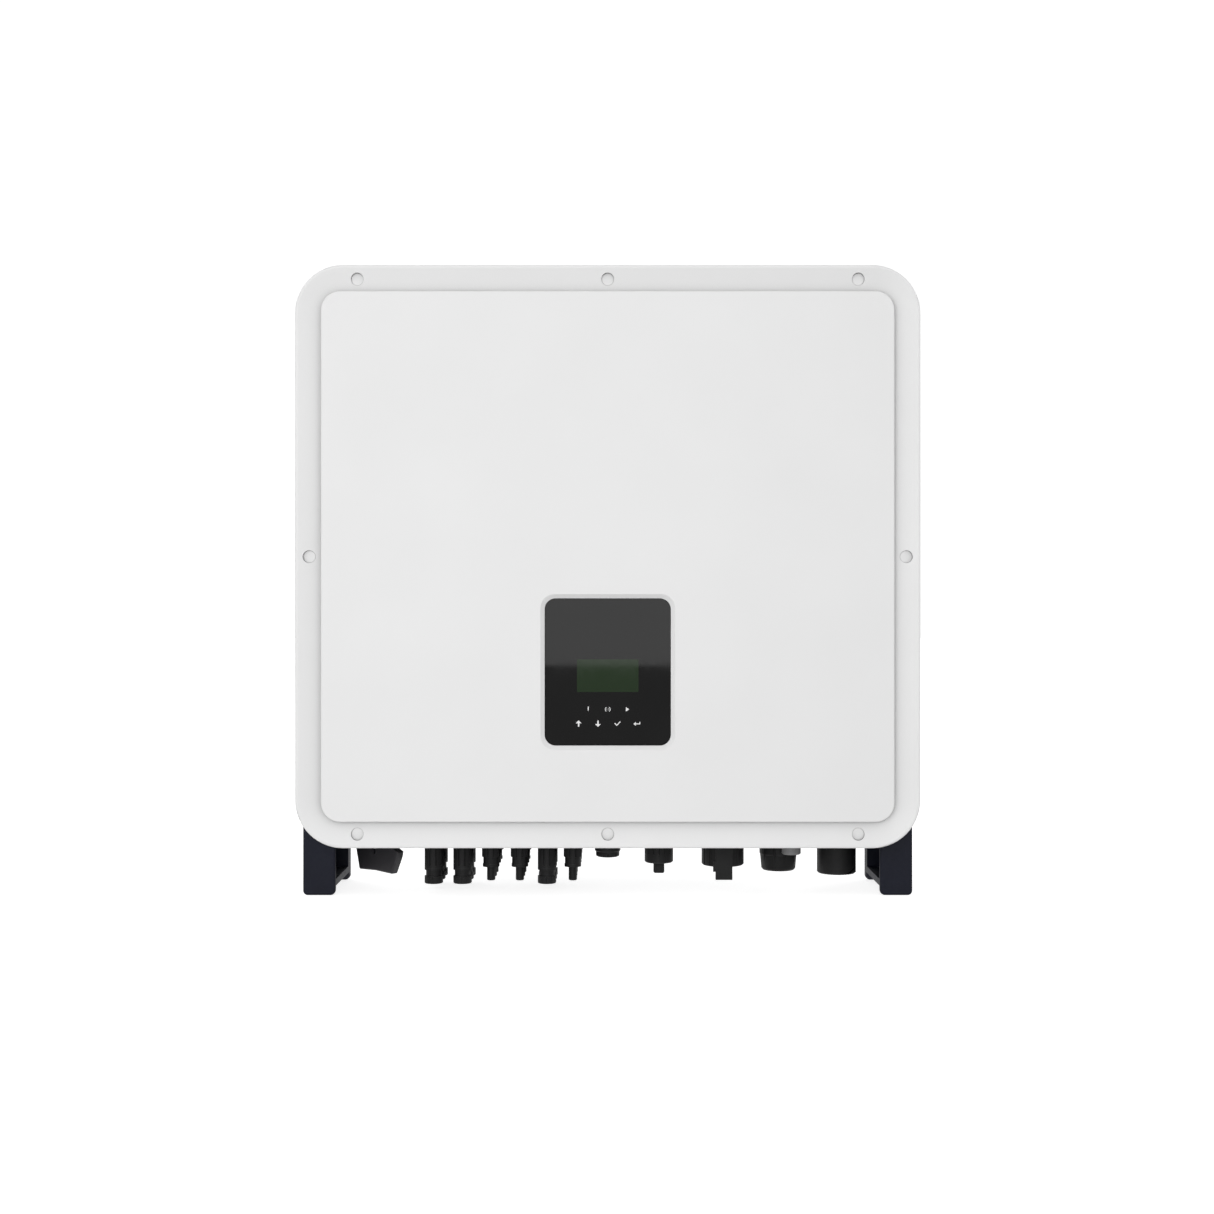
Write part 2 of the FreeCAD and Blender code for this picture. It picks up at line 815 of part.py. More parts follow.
def heat_sink():
    """Base plate that closes the back of the housing, and the upright fins bonded to it."""
    plate = new_body("sink_plate")
    height = S.sink_high - S.sink_low
    face = front_sketch(plate, FIN_ROOT, z=S.sink_low + height / 2)
    pad(plate, outline(face, S.sink_width, height, 6), S.sink_base)
    for places, radius in ((SINK_SCREWS, S.screw_clear), (TRAY_SCREWS, TRAY_SCREW_RADIUS)):
        holes = [(x, z - COVER_MID) for x, z in places]
        pocket(plate, circles(front_sketch(plate, BOX_BACK), holes, radius), S.sink_base)
    size = (S.fin_thick, S.fin_length, S.sink_high - S.fin_low)
    fin = box(size, (0, 0, 0))
    first = -S.fin_pitch * (S.fin_count - 1) / 2 - S.fin_thick / 2
    fins = []
    for step in range(DRIVING["fin_count"]):
        fins.append(link(fin, (first + step * S.fin_pitch, deep(FIN_ROOT), S.fin_low)))
    node("heat_sink", group([plate, *fins]))
    sink_screw = screw("sink_screw", S.screw_radius - 0.05, 11.5, S.head_radius, 4)
    screws = [link(sink_screw, (x, deep(FIN_ROOT), z), TURN["-Y"]) for x, z in SINK_SCREWS]
    tray_screw = screw("tray_screw", TRAY_SCREW_RADIUS - 0.05, 8, 3.5, 3)
    lip = FIN_ROOT + TRAY_SHEET
    screws += [link(tray_screw, (x, deep(lip), z), TURN["-Y"]) for x, z in TRAY_SCREWS]
    node("heat_sink_screws", group(screws))


def fan_tray():
    """Bent sheet under the fins that carries the three fans."""
    width = 3 * S.fan_spacing - 26
    lip_top = 98
    front = (FIN_ROOT, FIN_ROOT + TRAY_SHEET)
    rear_face = S.fan_depth + S.fan_size / 2 + 0.5
    rear = (rear_face, rear_face + TRAY_SHEET)
    sheets = [
        block(width, (front[0], rear[1]), (BELLY, BELLY + TRAY_SHEET)),
        block(width, front, (BELLY, lip_top)),
        block(width, rear, (BELLY, lip_top)),
    ]
    holes = [rod(S.fan_bore, 10, (x, y, z - 5)) for x, y, z in fan_places().values()]
    clear = TRAY_SCREW_RADIUS + 0.2
    holes += [rod(clear, 6, (x, deep(FIN_ROOT - 2), z), "Y") for x, z in TRAY_SCREWS]
    node("fan_tray", cut(fuse(*sheets), *holes))


def fan_places():
    """Centre of each fan's underside."""
    low = BELLY + TRAY_SHEET
    return {name: (x * S.fan_spacing, deep(S.fan_depth), low) for name, x in FAN_COLUMNS.items()}


def fan_frames():
    """Square fan housings with a hub held by four struts on the outlet side."""
    half = S.fan_size / 2
    tall = S.fan_height
    strut = dim(4)
    wide = 3
    low = tall - strut
    cube = box((S.fan_size, S.fan_size, tall), (-half, -half, 0))
    case = cut(cube, rod(S.fan_bore, tall + 2, (0, 0, -1)))
    spokes = [
        box((S.fan_size - 1, wide, strut), (0.5 - half, -wide / 2, low)),
        box((wide, S.fan_size - 1, strut), (-wide / 2, 0.5 - half, low)),
    ]
    hub = rod(14, strut, (0, 0, low))
    corner = half - 5
    bearing = rod(FAN_SHAFT + 0.05, strut + 2, (0, 0, low - 1))
    holes = [rod(2.15, tall + 2, (i * corner, j * corner, -1)) for i in (-1, 1) for j in (-1, 1)]
    master = cut(fuse(case, hub, *spokes), bearing, *holes)
    node("fan_frames", group(link(master, at) for at in fan_places().values()))


def fan_rotors():
    """Impellers with seven pitched blades and a steel shaft, one node each."""
    radius = 13
    end = 24.5
    profile = [(0, 3), (radius - 1, 3), (radius, 4), (radius, 20), (FAN_SHAFT, 20)]
    hub = lathe("hub", profile + [(FAN_SHAFT, end), (0, end)])
    blade = move(box((16.5, 1.4, 24), (0, 0, 0)), (11, 5.5, 1), App.Rotation(Vector(1, 0, 0), 38))
    blades = fuse(*around(group([blade]), 7))
    sweep = cut(rod(S.fan_bore - 1.5, 15, (0, 0, 4)), rod(radius - 2, 17, (0, 0, 3)))
    master = fuse(hub, common(blades, sweep))
    for name, at in fan_places().items():
        node(f"fan_rotor_{name}", group([link(master, at)]))


def fan_guards():
    """Wire finger guards under the tray."""
    wire = dim(0.8)
    reach = 33
    rings = [torus(radius, wire, (0, 0, 0)) for radius in (12, 20, 28)]
    arms = []
    for angle in (45, 135):
        turn = App.Rotation(Vector(0, 0, 1), angle).multiply(TURN["X"])
        start = turn.multVec(Vector(0, 0, -reach))
        arms.append(move(rod(wire, 2 * reach, (0, 0, 0)), tuple(start), turn))
    master = fuse(*rings, *arms)
    places = [(x, y, BELLY - wire) for x, y, _ in fan_places().values()]
    node("fan_guards", group(link(master, at) for at in places))


# ---------------------------------------------------------------- switch


def switch_knob():
    """Handle: a round disc with a thin bar below it that flares towards its pointer end."""
    disc_low, disc_top = 40, 50.5
    rim = S.knob_radius
    disc = lathe("disc", [(0, disc_low), (rim - 2, disc_low), (rim, 42), (rim, disc_top), (0, disc_top)])
    bar = new_body("bar")
    sides = [(-22.8, 14.3), (0, 15.5), (23.6, 14.9), (28.3, 23.8), (31.3, 29.8), (32.5, 34.4)]
    sides += [(25.5, 37), (22, 43), (-22, 43), (-28.6, 36), (-27.6, 31.7)]
    drawing = polygon(sketch(bar, "XZ_Plane", (0, 0, S.bar_thick / 2)), sides)
    pad(bar, drawing, S.bar_thick, backwards=True)
    soften(bar, 1.5, lambda edge: edge.BoundBox.ZMax < 35)
    return cut(fuse(disc, bar), rod(S.shaft_radius, 22, (0, 0, 30)))


def switch():
    """Direct-current switch: escutcheon, bar handle, shaft and the contact block inside."""
    x, y = -S.switch_x, deep(S.switch_depth)
    hole = S.shaft_radius + 0.4
    rim, low = S.bezel_radius, S.bezel_low
    bezel = lathe("bezel", [(hole, low), (rim - 3, low), (rim, low + 3), (rim, BELLY), (hole, BELLY)])
    mark = box((3, 8, 1), (-1.5, -26, low - 0.6))
    marks = around(group([mark]), 4, start=45)
    node("dc_switch_escutcheon", move(fuse(bezel, *marks), (x, y, 0)))
    node("dc_switch_knob", move(switch_knob(), (x, y, 0), App.Rotation(Vector(0, 0, 1), -45)))
    shaft_top = 84
    flat = box((8, 8, 12), (-4, 2.8, shaft_top - 12))
    shaft = cut(rod(S.shaft_radius, shaft_top - 30, (0, 0, 30)), flat)
    node("dc_switch_shaft", move(shaft, (x, y, 0)))
    case_top = 134
    case = block(36, (52, 98), (FLOOR, case_top), x=x)
    lugs = [block(8, (56 + 14 * step, 64 + 14 * step), (case_top, 141), x=x) for step in range(3)]
    hollow = rod(S.shaft_radius + 0.05, 14, (x, y, FLOOR - 1))
    node("dc_switch_body", cut(fuse(case, *lugs), hollow))


# ---------------------------------------------------------------- plug-in connectors


def socket(name, tip):
    """Panel socket whose lower end follows `tip`, a list of (radius, height) points."""
    collar = S.socket_radius + 2
    profile = [(S.socket_bore, tip[0][1])] + tip + [
        (S.socket_radius, 58),
        (collar, 58),
        (collar, BELLY),
        (S.thread_radius, BELLY),
        (S.thread_radius, 82),
        (S.socket_bore, 82),
    ]
    return lathe(name, profile)


def spots(columns):
    """Places of the sockets in the three rows."""
    return [(x, deep(depth), 0) for x in columns for depth in ROWS]


def plug_sockets():
    """Eighteen panel sockets in two forms, with their contacts and lock nuts."""
    outer = S.socket_radius
    groove_top = 56
    wide = grooves(socket("wide_socket", [(outer, 20)]), 10, 0.8, outer, groove_top, 34)
    node("dc_sockets_positive", group(link(wide, at) for at in spots(WIDE_COLUMNS)))
    latch, waist = 7.25, 6.85
    tip = [(latch, 21), (latch, 23.5), (waist, 23.5), (waist, 29.5), (outer, 29.5)]
    narrow = grooves(socket("narrow_socket", tip), 10, 0.8, outer, groove_top, 26.4)
    node("dc_sockets_negative", group(link(narrow, at) for at in spots(NARROW_COLUMNS)))
    everywhere = spots(WIDE_COLUMNS + NARROW_COLUMNS)
    profile = [(0, 30), (1.8, 30), (S.socket_bore, 34), (S.socket_bore, 84), (2, 84), (2, 95), (0, 95)]
    pin = lathe("pin", profile)
    node("dc_contacts", group(link(pin, at) for at in everywhere))
    nut_bore = rod(S.thread_radius + 0.05, 8, (0, 0, FLOOR - 1))
    nut = cut(prism(20, 5, (0, 0, FLOOR)), nut_bore)
    along = App.Rotation(Vector(0, 0, 1), 30)
    node("connector_lock_nuts", group(link(nut, at, along) for at in everywhere))


def plug_caps():
    """Dust caps pushed into the sockets."""
    outer = S.socket_radius
    stub, stub_top = S.socket_bore - 0.15, 26
    waist, shoulder, mouth = 6.75, 12.9, 20
    profile = [(0, 6.5), (7.4, 6.5), (outer, 7.1), (outer, shoulder), (waist, shoulder), (waist, 18.3)]
    profile += [(outer, 18.3), (outer, mouth), (stub, mouth), (stub, stub_top), (0, stub_top)]
    wide_cap = grooves(lathe("wide_cap", profile), 12, 0.5, outer, shoulder, 8)
    node("dc_caps_positive", group(link(wide_cap, at) for at in spots(WIDE_COLUMNS)))
    slim, mouth = 3.6, 21
    profile = [(0, 9), (3, 9), (slim, 9.6), (slim, mouth), (stub, mouth), (stub, stub_top), (0, stub_top)]
    narrow_cap = lathe("narrow_cap", profile)
    node("dc_caps_negative", group(link(narrow_cap, at) for at in spots(NARROW_COLUMNS)))


# ---------------------------------------------------------------- ports


def breather_valve():
    """Pressure-balance valve in the floor, with a vented cap."""
    at = (0, deep(S.port_depth), 0)
    bore, thread, skirt, collar, joint = 3, 6, 11.2, 13, 33
    profile = [(bore, joint), (skirt - 0.8, joint), (skirt, joint + 0.8), (skirt, 60), (collar, 60)]
    profile += [(collar, BELLY), (thread, BELLY), (thread, S.thread_top), (bore, S.thread_top)]
    body = grooves(lathe("valve_body", profile), 12, 1.2, skirt + 0.2, 58, 22)
    node("breather_valve_body", group([link(body, at)]))
    stub = bore - 0.2
    profile = [(0, 28.4), (8.6, 28.4), (9.9, 29), (10.25, 30.2), (10.25, joint)]
    profile += [(stub, joint), (stub, 38), (0, 38)]
    cap = grooves(lathe("valve_cap", profile), 8, 1, 10.2, 32, 4)
    node("breather_valve_cap", group([link(cap, at)]))


def port_socket(label, x, radius, spigot, low):
    """Collar and spigot that a screw cap closes."""
    bore = spigot - 2.5
    collar_low = 46
    profile = [(bore, low), (spigot, low), (spigot, collar_low), (radius, collar_low), (radius, BELLY)]
    profile += [(spigot, BELLY), (spigot, S.thread_top), (bore, S.thread_top)]
    body = lathe(label, profile)
    return node(label, move(body, (x, deep(S.port_depth), 0)))


def port_cap(radius, spigot, low, floor):
    """Cap without its tongue: a cup that fits over a spigot."""
    room = spigot + 0.4
    bevel = 1
    profile = [(0, low), (radius - bevel, low), (radius, low + bevel), (radius, S.cap_top)]
    profile += [(room, S.cap_top), (room, floor), (0, floor)]
    return lathe("cap", profile)


def service_ports():
    """Data-logger port and communication port with their twist-off caps."""
    spigot, radius = dim(9), S.dongle_radius
    port_socket("dongle_port_socket", S.dongle_x, radius, spigot, 34)
    cap = grooves(port_cap(radius, spigot, dim(23.5), 33.4), 16, 0.7, radius, 45, 14)
    wide, thick, low = 9.4, 5, 14.1
    tongue = new_body("tongue")
    shape = [(-wide / 2 + 1, low), (wide / 2 - 1, low), (wide / 2, low + 1), (wide / 2, 26)]
    shape += [(-wide / 2, 26), (-wide / 2, low + 1)]
    pad(tongue, polygon(sketch(tongue, "XZ_Plane", (0, 0, thick / 2)), shape), thick, backwards=True)
    node("dongle_port_cap", move(fuse(cap, tongue), (S.dongle_x, deep(S.port_depth), 0)))
    spigot, radius = S.neck_radius, S.com_radius
    port_socket("com_port_socket", S.com_x, radius, spigot, 33)
    cap = grooves(port_cap(radius, spigot, dim(21.5), 32.4), 14, 1.5, radius + 0.3, 46, 24)
    front = -radius
    tongue = box((14.4, 3.9, 30), (-7.2, front, 10.6))
    tab = box((2.2, 3.4, 6), (-9.3, front + 0.5, 17.5))
    web = box((4, 3.4, 5), (-9.3, front + 0.5, 21))
    node("com_port_cap", move(fuse(cap, tongue, tab, web), (S.com_x, deep(S.port_depth), 0)))


# ---------------------------------------------------------------- alternating-current connectors


def plug_base(label, x):
    """Panel half of a round connector: flange, neck and through bore."""
    bore, neck, flange, thread = S.contact_bore, S.neck_radius, 19, 14.8
    flange_low = 62.5
    profile = [(bore, S.neck_low), (neck, S.neck_low), (neck, flange_low), (flange, flange_low)]
    profile += [(flange, BELLY), (thread, BELLY), (thread, S.thread_top), (bore, S.thread_top)]
    return node(label, move(lathe(label, profile), (x, deep(S.plug_depth), 0)))


def plug_ring(label, x, radius, count):
    """Coupling ring that turns on the neck, with finger grooves."""
    room = S.neck_radius + 0.4
    low, top = S.neck_low, 61.6
    profile = [(room, low), (radius - 0.6, low), (radius, low + 0.6), (radius, top - 1)]
    profile += [(radius - 1, top), (room, top)]
    ring = grooves(lathe(label, profile), count, 1.3, radius + 0.5, 62, 20)
    return node(label, move(ring, (x, deep(S.plug_depth), 0)))


def seal_seat(low):
    """Inside of a plug shell, from the neck down to the cable mouth."""
    bore, seat = 10, S.seal_radius + 0.05
    lip = low + 5
    top = low + 15
    mouth = S.cable_bore
    return [(bore, SHELL_TOP), (bore, top), (seat, top), (seat, lip), (mouth, lip), (mouth, low)]


def plug_shells():
    """Cable halves of both connectors: one tapers and has ribs, the other has a slanted slot."""
    y = deep(S.plug_depth)
    low = S.grid_low
    profile = [(13.5, low), (14.8, low + 1.5), (15.9, 30), (16.4, 30.6), (16.4, SHELL_TOP)]
    shell = grooves(lathe("grid_shell", profile + seal_seat(low)), 10, 1.5, 16.8, SHELL_TOP, 24)
    node("grid_connector_shell", move(shell, (S.grid_x, y, 0)))
    low, radius = S.backup_low, S.backup_radius
    profile = [(radius - 1, low), (radius, low + 1), (radius, SHELL_TOP)] + seal_seat(low)
    shell = lathe("backup_shell", profile)
    aside = App.Rotation(Vector(0, 0, 1), 41)
    start = aside.multVec(Vector(-9, -18.5, 12.5))
    lean = App.Rotation(Vector(0, 1, 0), 62)
    slot = move(box((2, 3.4, 20), (0, 0, 0)), tuple(start), aside.multiply(lean))
    node("backup_connector_shell", move(cut(shell, slot), (S.backup_x, y, 0)))


def ac_connectors():
    """Grid and backup connectors: bases, coupling rings, seals, inserts and contacts."""
    y = deep(S.plug_depth)
    plug_base("grid_connector_base", S.grid_x)
    plug_base("backup_connector_base", S.backup_x)
    plug_ring("grid_connector_ring", S.grid_x, dim(16.55), 16)
    plug_ring("backup_connector_ring", S.backup_x, S.backup_radius, 20)
    pin, arm = 1.5, 5
    seals = []
    inserts = []
    pins = []
    for x, low in ((S.grid_x, S.grid_low), (S.backup_x, S.backup_low)):
        seals.append(cut(rod(S.seal_radius, 10, (x, y, low + 5)), rod(9.5, 12, (x, y, low + 4))))
        places = [(x, y)] + [(x + i * arm, y + j * arm) for i in (-1, 1) for j in (-1, 1)]
        holes = [rod(pin, 12, (px, py, 47)) for px, py in places]
        inserts.append(cut(rod(S.contact_bore - 0.05, 10, (x, y, 48)), *holes))
        pins += [rod(pin - 0.02, 54, (px, py, 36)) for px, py in places]
    node("gland_seals", group(seals))
    node("ac_contact_inserts", group(inserts))
    node("ac_contacts", group(pins))


def earth_terminal():
    """Steel post under the housing with a threaded hole for the earth lug."""
    radius, low, shoulder = S.earth_radius, 33, 58
    thread, thread_end, neck = 3, 48, 5
    bevel = 0.8
    profile = [(thread, low), (radius - bevel, low), (radius, low + bevel), (radius, shoulder)]
    profile += [(neck, shoulder), (neck, BELLY), (0, BELLY), (0, thread_end), (thread, thread_end)]
    body = lathe("earth_terminal", profile)
    node("earth_terminal", move(body, (S.earth_x, deep(S.earth_depth), 0)))


# ---------------------------------------------------------------- power electronics


def boards():
    """Power board with its power modules and standoffs."""
    front = S.board_front
    back = front + S.board_thick
    modules = [block(90, (back, BOX_BACK), (300, 360), x=x) for x in (-130, 0, 130)]
    node("power_modules", group(modules))
    board = block(400, (front, back), (188, 478))
    holes = [rod(POST_HOLE, 4, (x, deep(front - 1), z), "Y") for x, z in PANEL_POSTS]
    node("power_board", cut(board, *holes))
    control_back = S.control_front + S.board_thick
    posts = [rod(4, BOX_BACK - back, (x, deep(back), z), "Y") for x, z in PANEL_POSTS]
    posts += [rod(4, front - control_back, (x, deep(control_back), z), "Y") for x, z in CONTROL_POSTS]
    node("board_standoffs", group(posts))


def control_board():
    """Control board with its chips, in front of the power board."""
    front = S.control_front
    back = front + S.board_thick
    holes = [rod(POST_HOLE, 4, (x, deep(front - 1), z), "Y") for x, z in CONTROL_POSTS]
    plate = block(224, (front, back), (218, 402))
    side = 14
    chips = []
    for x in (-60, 10, 60):
        for z in (250, 330):
            chips.append(block(side, (front - 3, front + 0.6), (z, z + side), x=x))
    node("control_board", fuse(cut(plate, *holes), *chips))


def components():
    """Capacitors and relays on the front of the power board."""
    front = S.board_front
    can_radius, can_height = 17.5, 48
    cans = []
    for column in range(8):
        for z in (266, 312):
            at = (46 * column - 161, deep(front - can_height), z)
            cans.append(rod(can_radius, can_height, at, "Y"))
    node("dc_link_capacitors", group(cans))
    films = [block(44, (front - 36, front), (346, 374), x=100 * step - 150) for step in range(4)]
    films += [block(30, (front - 30, front), (192, 219), x=62 * step - 155) for step in range(6)]
    node("film_capacitors", group(films))
    relays = []
    for low in (412, 442):
        relays += [block(32, (front - 28, front), (low, low + 16), x=64 * step - 160) for step in range(6)]
    node("grid_relays", group(relays))


def magnetics():
    """Potted boost inductors and wound filter chokes on the rear wall."""
    back = BOX_BACK - S.rear_wall
    pots = [block(72, (68, back), (108, 184), x=x) for x in (-112, -30)]
    node("boost_inductors", group(pots))
    thick = 32
    chokes = []
    for x in (52, 120, 188):
        at = (x, deep(back - thick), 146)
        chokes.append(cut(rod(31, thick, at, "Y"), rod(13, thick + 2, at, "Y")))
    node("filter_chokes", group(chokes))


# ---------------------------------------------------------------- wall fixing


def wall_bracket():
    """Sheet-steel bracket: a plate for the wall and two stepped wings that carry the hooks."""
    thick = S.plate_thick
    wall = S.total_depth
    rail = wall - S.standoff
    sheet_low, sheet_high = 340, 500
    sheet = new_body("sheet")
    face = front_sketch(sheet, wall, z=(sheet_low + sheet_high) / 2)
    pad(sheet, outline(face, 400, sheet_high - sheet_low, 10), thick)
    parts = [sheet]
    heights = (S.wing_low, S.wing_high)
    for side in (-1, 1):
        parts.append(block(thick, (rail, wall), heights, x=side * 201.25))
        parts.append(block(45, (rail, rail + thick), heights, x=side * 222.5))
        parts.append(block(thick, (186, rail + thick), (S.wing_low, 452), x=side * EAR_X))
    middle = (S.wall_hole_low + S.wall_hole_high) / 2
    behind = deep(wall - 4)
    holes = [rod(30, 6, (x, behind, middle), "Y") for x in (-75, 75)]
    for side in (-1, 1):
        for z in (S.wall_hole_low, S.wall_hole_high):
            holes.append(rod(S.wall_hole, 6, (side * S.wall_hole_x, behind, z), "Y"))
        holes.append(rod(2.75, 6, (side * EAR_X - 3, deep(LOCK_DEPTH), LOCK_HEIGHT), "X"))
    return node("wall_bracket", cut(fuse(*parts), *holes))


def hanger_hooks():
    """Arms on the back of the housing that hook over the bracket's wings."""
    rail = S.total_depth - S.standoff
    wide = 12
    high = S.wing_high + 10
    over = S.wing_high + 1
    hooks = []
    screws = []
    master = screw("lock_screw", S.screw_radius - 0.05, 14, S.head_radius, 4)
    for side in (-1, 1):
        x = side * 229.5
        arm = block(wide, (BOX_BACK, rail - 0.5), (S.wing_low, high), x=x)
        top = block(wide, (rail - 1, rail + 5.5), (over, high), x=x)
        lip = block(wide, (rail + 3, rail + 5.5), (462, high), x=x)
        window = block(wide + 2, (BOX_BACK + 14, rail - 22), (446, 472), x=x)
        hole = rod(S.screw_radius, 12, (side * 235.5 - 6, deep(LOCK_DEPTH), LOCK_HEIGHT), "X")
        hooks.append(cut(fuse(arm, top, lip), window, hole))
        way = "-X" if side > 0 else "X"
        screws.append(link(master, (side * 245, deep(LOCK_DEPTH), LOCK_HEIGHT), TURN[way]))
    node("hanger_hooks", group(hooks))
    node("bracket_lock_screws", group(screws))


# ---------------------------------------------------------------- build, check and export


def build():
    """Make every sub-part."""
    front_cover()
    cover_screws()
    screw_plugs()
    cover_gasket()
    display_glass()
    display_parts()
    rear_housing()
    feet()
    heat_sink()
    fan_tray()
    fan_frames()
    fan_rotors()
    fan_guards()
    switch()
    plug_sockets()
    plug_caps()
    breather_valve()
    service_ports()
    ac_connectors()
    plug_shells()
    earth_terminal()
    boards()
    control_board()
    components()
    magnetics()
    wall_bracket()
    hanger_hooks()
    doc.recompute()


def check():
    """Stop if any object failed or any sub-part is not a sound solid."""
    for obj in doc.Objects:
        if "Invalid" in obj.State or "Error" in obj.State:
            raise RuntimeError(f"{obj.Name} ({obj.Label}) failed: {obj.State}")
    for part in PARTS:
        shape = part.Shape
        if shape.isNull() or not shape.isValid() or not shape.Solids:
            raise RuntimeError(f"{part.Label} has no sound shape")


def export():
    """Write one STEP file for each sub-part."""
    os.makedirs("parts", exist_ok=True)
    for part in PARTS:
        part.Shape.exportStep(f"parts/{part.Label}.step")
        count = len(part.Shape.Solids)
        print(f"{part.Label}: {count} solids, {part.Shape.Volume / 1000:.1f} cm3, {part.Shape.BoundBox}")
    print(len(PARTS), "sub-parts")


build()
check()
export()
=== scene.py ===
import json
import math

import bmesh
import bpy
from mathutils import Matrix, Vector


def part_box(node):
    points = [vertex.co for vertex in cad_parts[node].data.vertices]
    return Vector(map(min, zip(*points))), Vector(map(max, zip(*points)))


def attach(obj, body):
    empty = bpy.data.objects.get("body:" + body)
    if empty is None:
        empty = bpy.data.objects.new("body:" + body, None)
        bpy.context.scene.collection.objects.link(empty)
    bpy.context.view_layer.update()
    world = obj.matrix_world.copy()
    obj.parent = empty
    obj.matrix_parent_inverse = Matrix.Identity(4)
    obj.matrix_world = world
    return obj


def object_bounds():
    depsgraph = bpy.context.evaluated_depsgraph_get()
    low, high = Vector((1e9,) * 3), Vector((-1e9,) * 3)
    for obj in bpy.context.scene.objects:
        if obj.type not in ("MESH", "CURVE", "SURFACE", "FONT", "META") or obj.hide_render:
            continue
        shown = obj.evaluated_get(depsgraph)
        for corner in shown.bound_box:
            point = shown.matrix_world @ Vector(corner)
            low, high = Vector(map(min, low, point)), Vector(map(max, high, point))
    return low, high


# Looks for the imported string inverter: a material for every CAD part, the screen window and the
# printed symbols on the display glass, a pale studio floor, soft lights and the camera.
# Lengths are in metres, and MM turns millimetres into them.

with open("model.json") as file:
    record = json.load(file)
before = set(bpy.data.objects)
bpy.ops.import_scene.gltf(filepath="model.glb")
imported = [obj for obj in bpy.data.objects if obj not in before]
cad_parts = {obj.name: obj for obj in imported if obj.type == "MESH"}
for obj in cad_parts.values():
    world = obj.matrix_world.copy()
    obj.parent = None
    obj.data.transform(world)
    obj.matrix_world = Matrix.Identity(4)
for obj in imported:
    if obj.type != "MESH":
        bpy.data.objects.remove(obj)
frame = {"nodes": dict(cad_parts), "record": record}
cad_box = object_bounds()
nodes = frame["nodes"]
MM = 0.001
HOUSING = "housing"

# Noise seldom leaves this range, so it is stretched from here to the whole of 0 to 1.
NOISE_RANGE = (0.3, 0.7)
# How far the bevelled and the true normal agree where the painted edge highlight starts and where the
# edge is sharp.
HIGHLIGHT_FROM, HIGHLIGHT_TO = 0.99, 0.8

# Screen window, set in the glass and just proud of it, and the ink printed on the glass.
WINDOW_WIDTH, WINDOW_HEIGHT = 51.2 * MM, 27.2 * MM
WINDOW_CORNER = 0.6 * MM
WINDOW_LIFT, WINDOW_THICK = 0.05 * MM, 0.2 * MM
INK_LIFT, INK_THICK = 0.06 * MM, 0.12 * MM
SHAPE_LIFT = 0.02 * MM
FINE_LINE, LINE, HEAVY_LINE = 0.5 * MM, 0.8 * MM, 1.2 * MM
# Round ends of a printed line: how far they stand proud, as a share of the ink's thickness, and their
# radius as a share of half the line's width, which keeps their corners apart.
END_LIFT, END_RADIUS = 0.05, 0.999
ALARM_X, LINK_X, RUN_X = -16.2 * MM, 0, 16.4 * MM
UP_X, DOWN_X, ACCEPT_X, ENTER_X = -24.2 * MM, -8.1 * MM, 8.1 * MM, 24.3 * MM
# The radio sign: two waves on each side of a dot, in millimetres and degrees.
WAVE_RADII = (1.1, 2.1)
WAVE_STARTS = (-50, 130)
WAVE_TURN = 100
DOT = 0.05

# Brightness of the surround, from straight down (0) to straight up (1).
SKY_BANDS = [(0.0, 0.26), (0.2, 0.3), (0.36, 1.0), (0.5, 0.86), (1.0, 0.5)]
# Its brightness in reflections of the front and of the back, where one turns into the other along Y,
# and its brightness in view.
SKY_MIRRORED = 0.15
SKY_MIRRORED_BEHIND = 0.65
SKY_TURN = (-0.5, 0.3)
SKY_SEEN = 1.05

FLOOR_HALF = 12
FLOOR_GLOW = 0.8
CARD_GLOW = 0.64
# Y, half width, lower edge and upper edge of each reflector card.
CARDS = {"card_front": (-3.1, 1.6, 0.093, 1.6), "card_back": (3.0, 1.2, 0.1, 1.8)}

# Place, size, watts and whether reflections show it, for each soft light. All look at LIGHT_AIM.
LIGHT_AIM = (0, 0, 0.28)
LIGHTS = {
    "front": ((-0.6, -2.6, 0.2), 2.0, 31, False),
    "overhead": ((0, -0.9, 3.0), 1.4, 5, True),
    "rear_left": ((-2.0, 2.2, 1.8), 1.6, 18, True),
    "rear_right": ((2.2, 2.0, 1.6), 1.6, 14, True),
}

CAMERA_X, CAMERA_Z = -0.6 * MM, 245.6 * MM
CAMERA_DISTANCE = 1.4
CAMERA_SENSOR, CAMERA_LENS = 36, 50
CAMERA_REACH = 60

# ---------------------------------------------------------------- material helpers


def srgb(red, green, blue):
    """Linear colour from the usual 0 to 255 display values."""

    def channel(value):
        value /= 255
        return value / 12.92 if value <= 0.04045 else ((value + 0.055) / 1.055) ** 2.4

    return (channel(red), channel(green), channel(blue), 1.0)


def grey(value):
    """Linear grey from a 0 to 255 display value."""
    return srgb(value, value, value)


WHITE = grey(255)


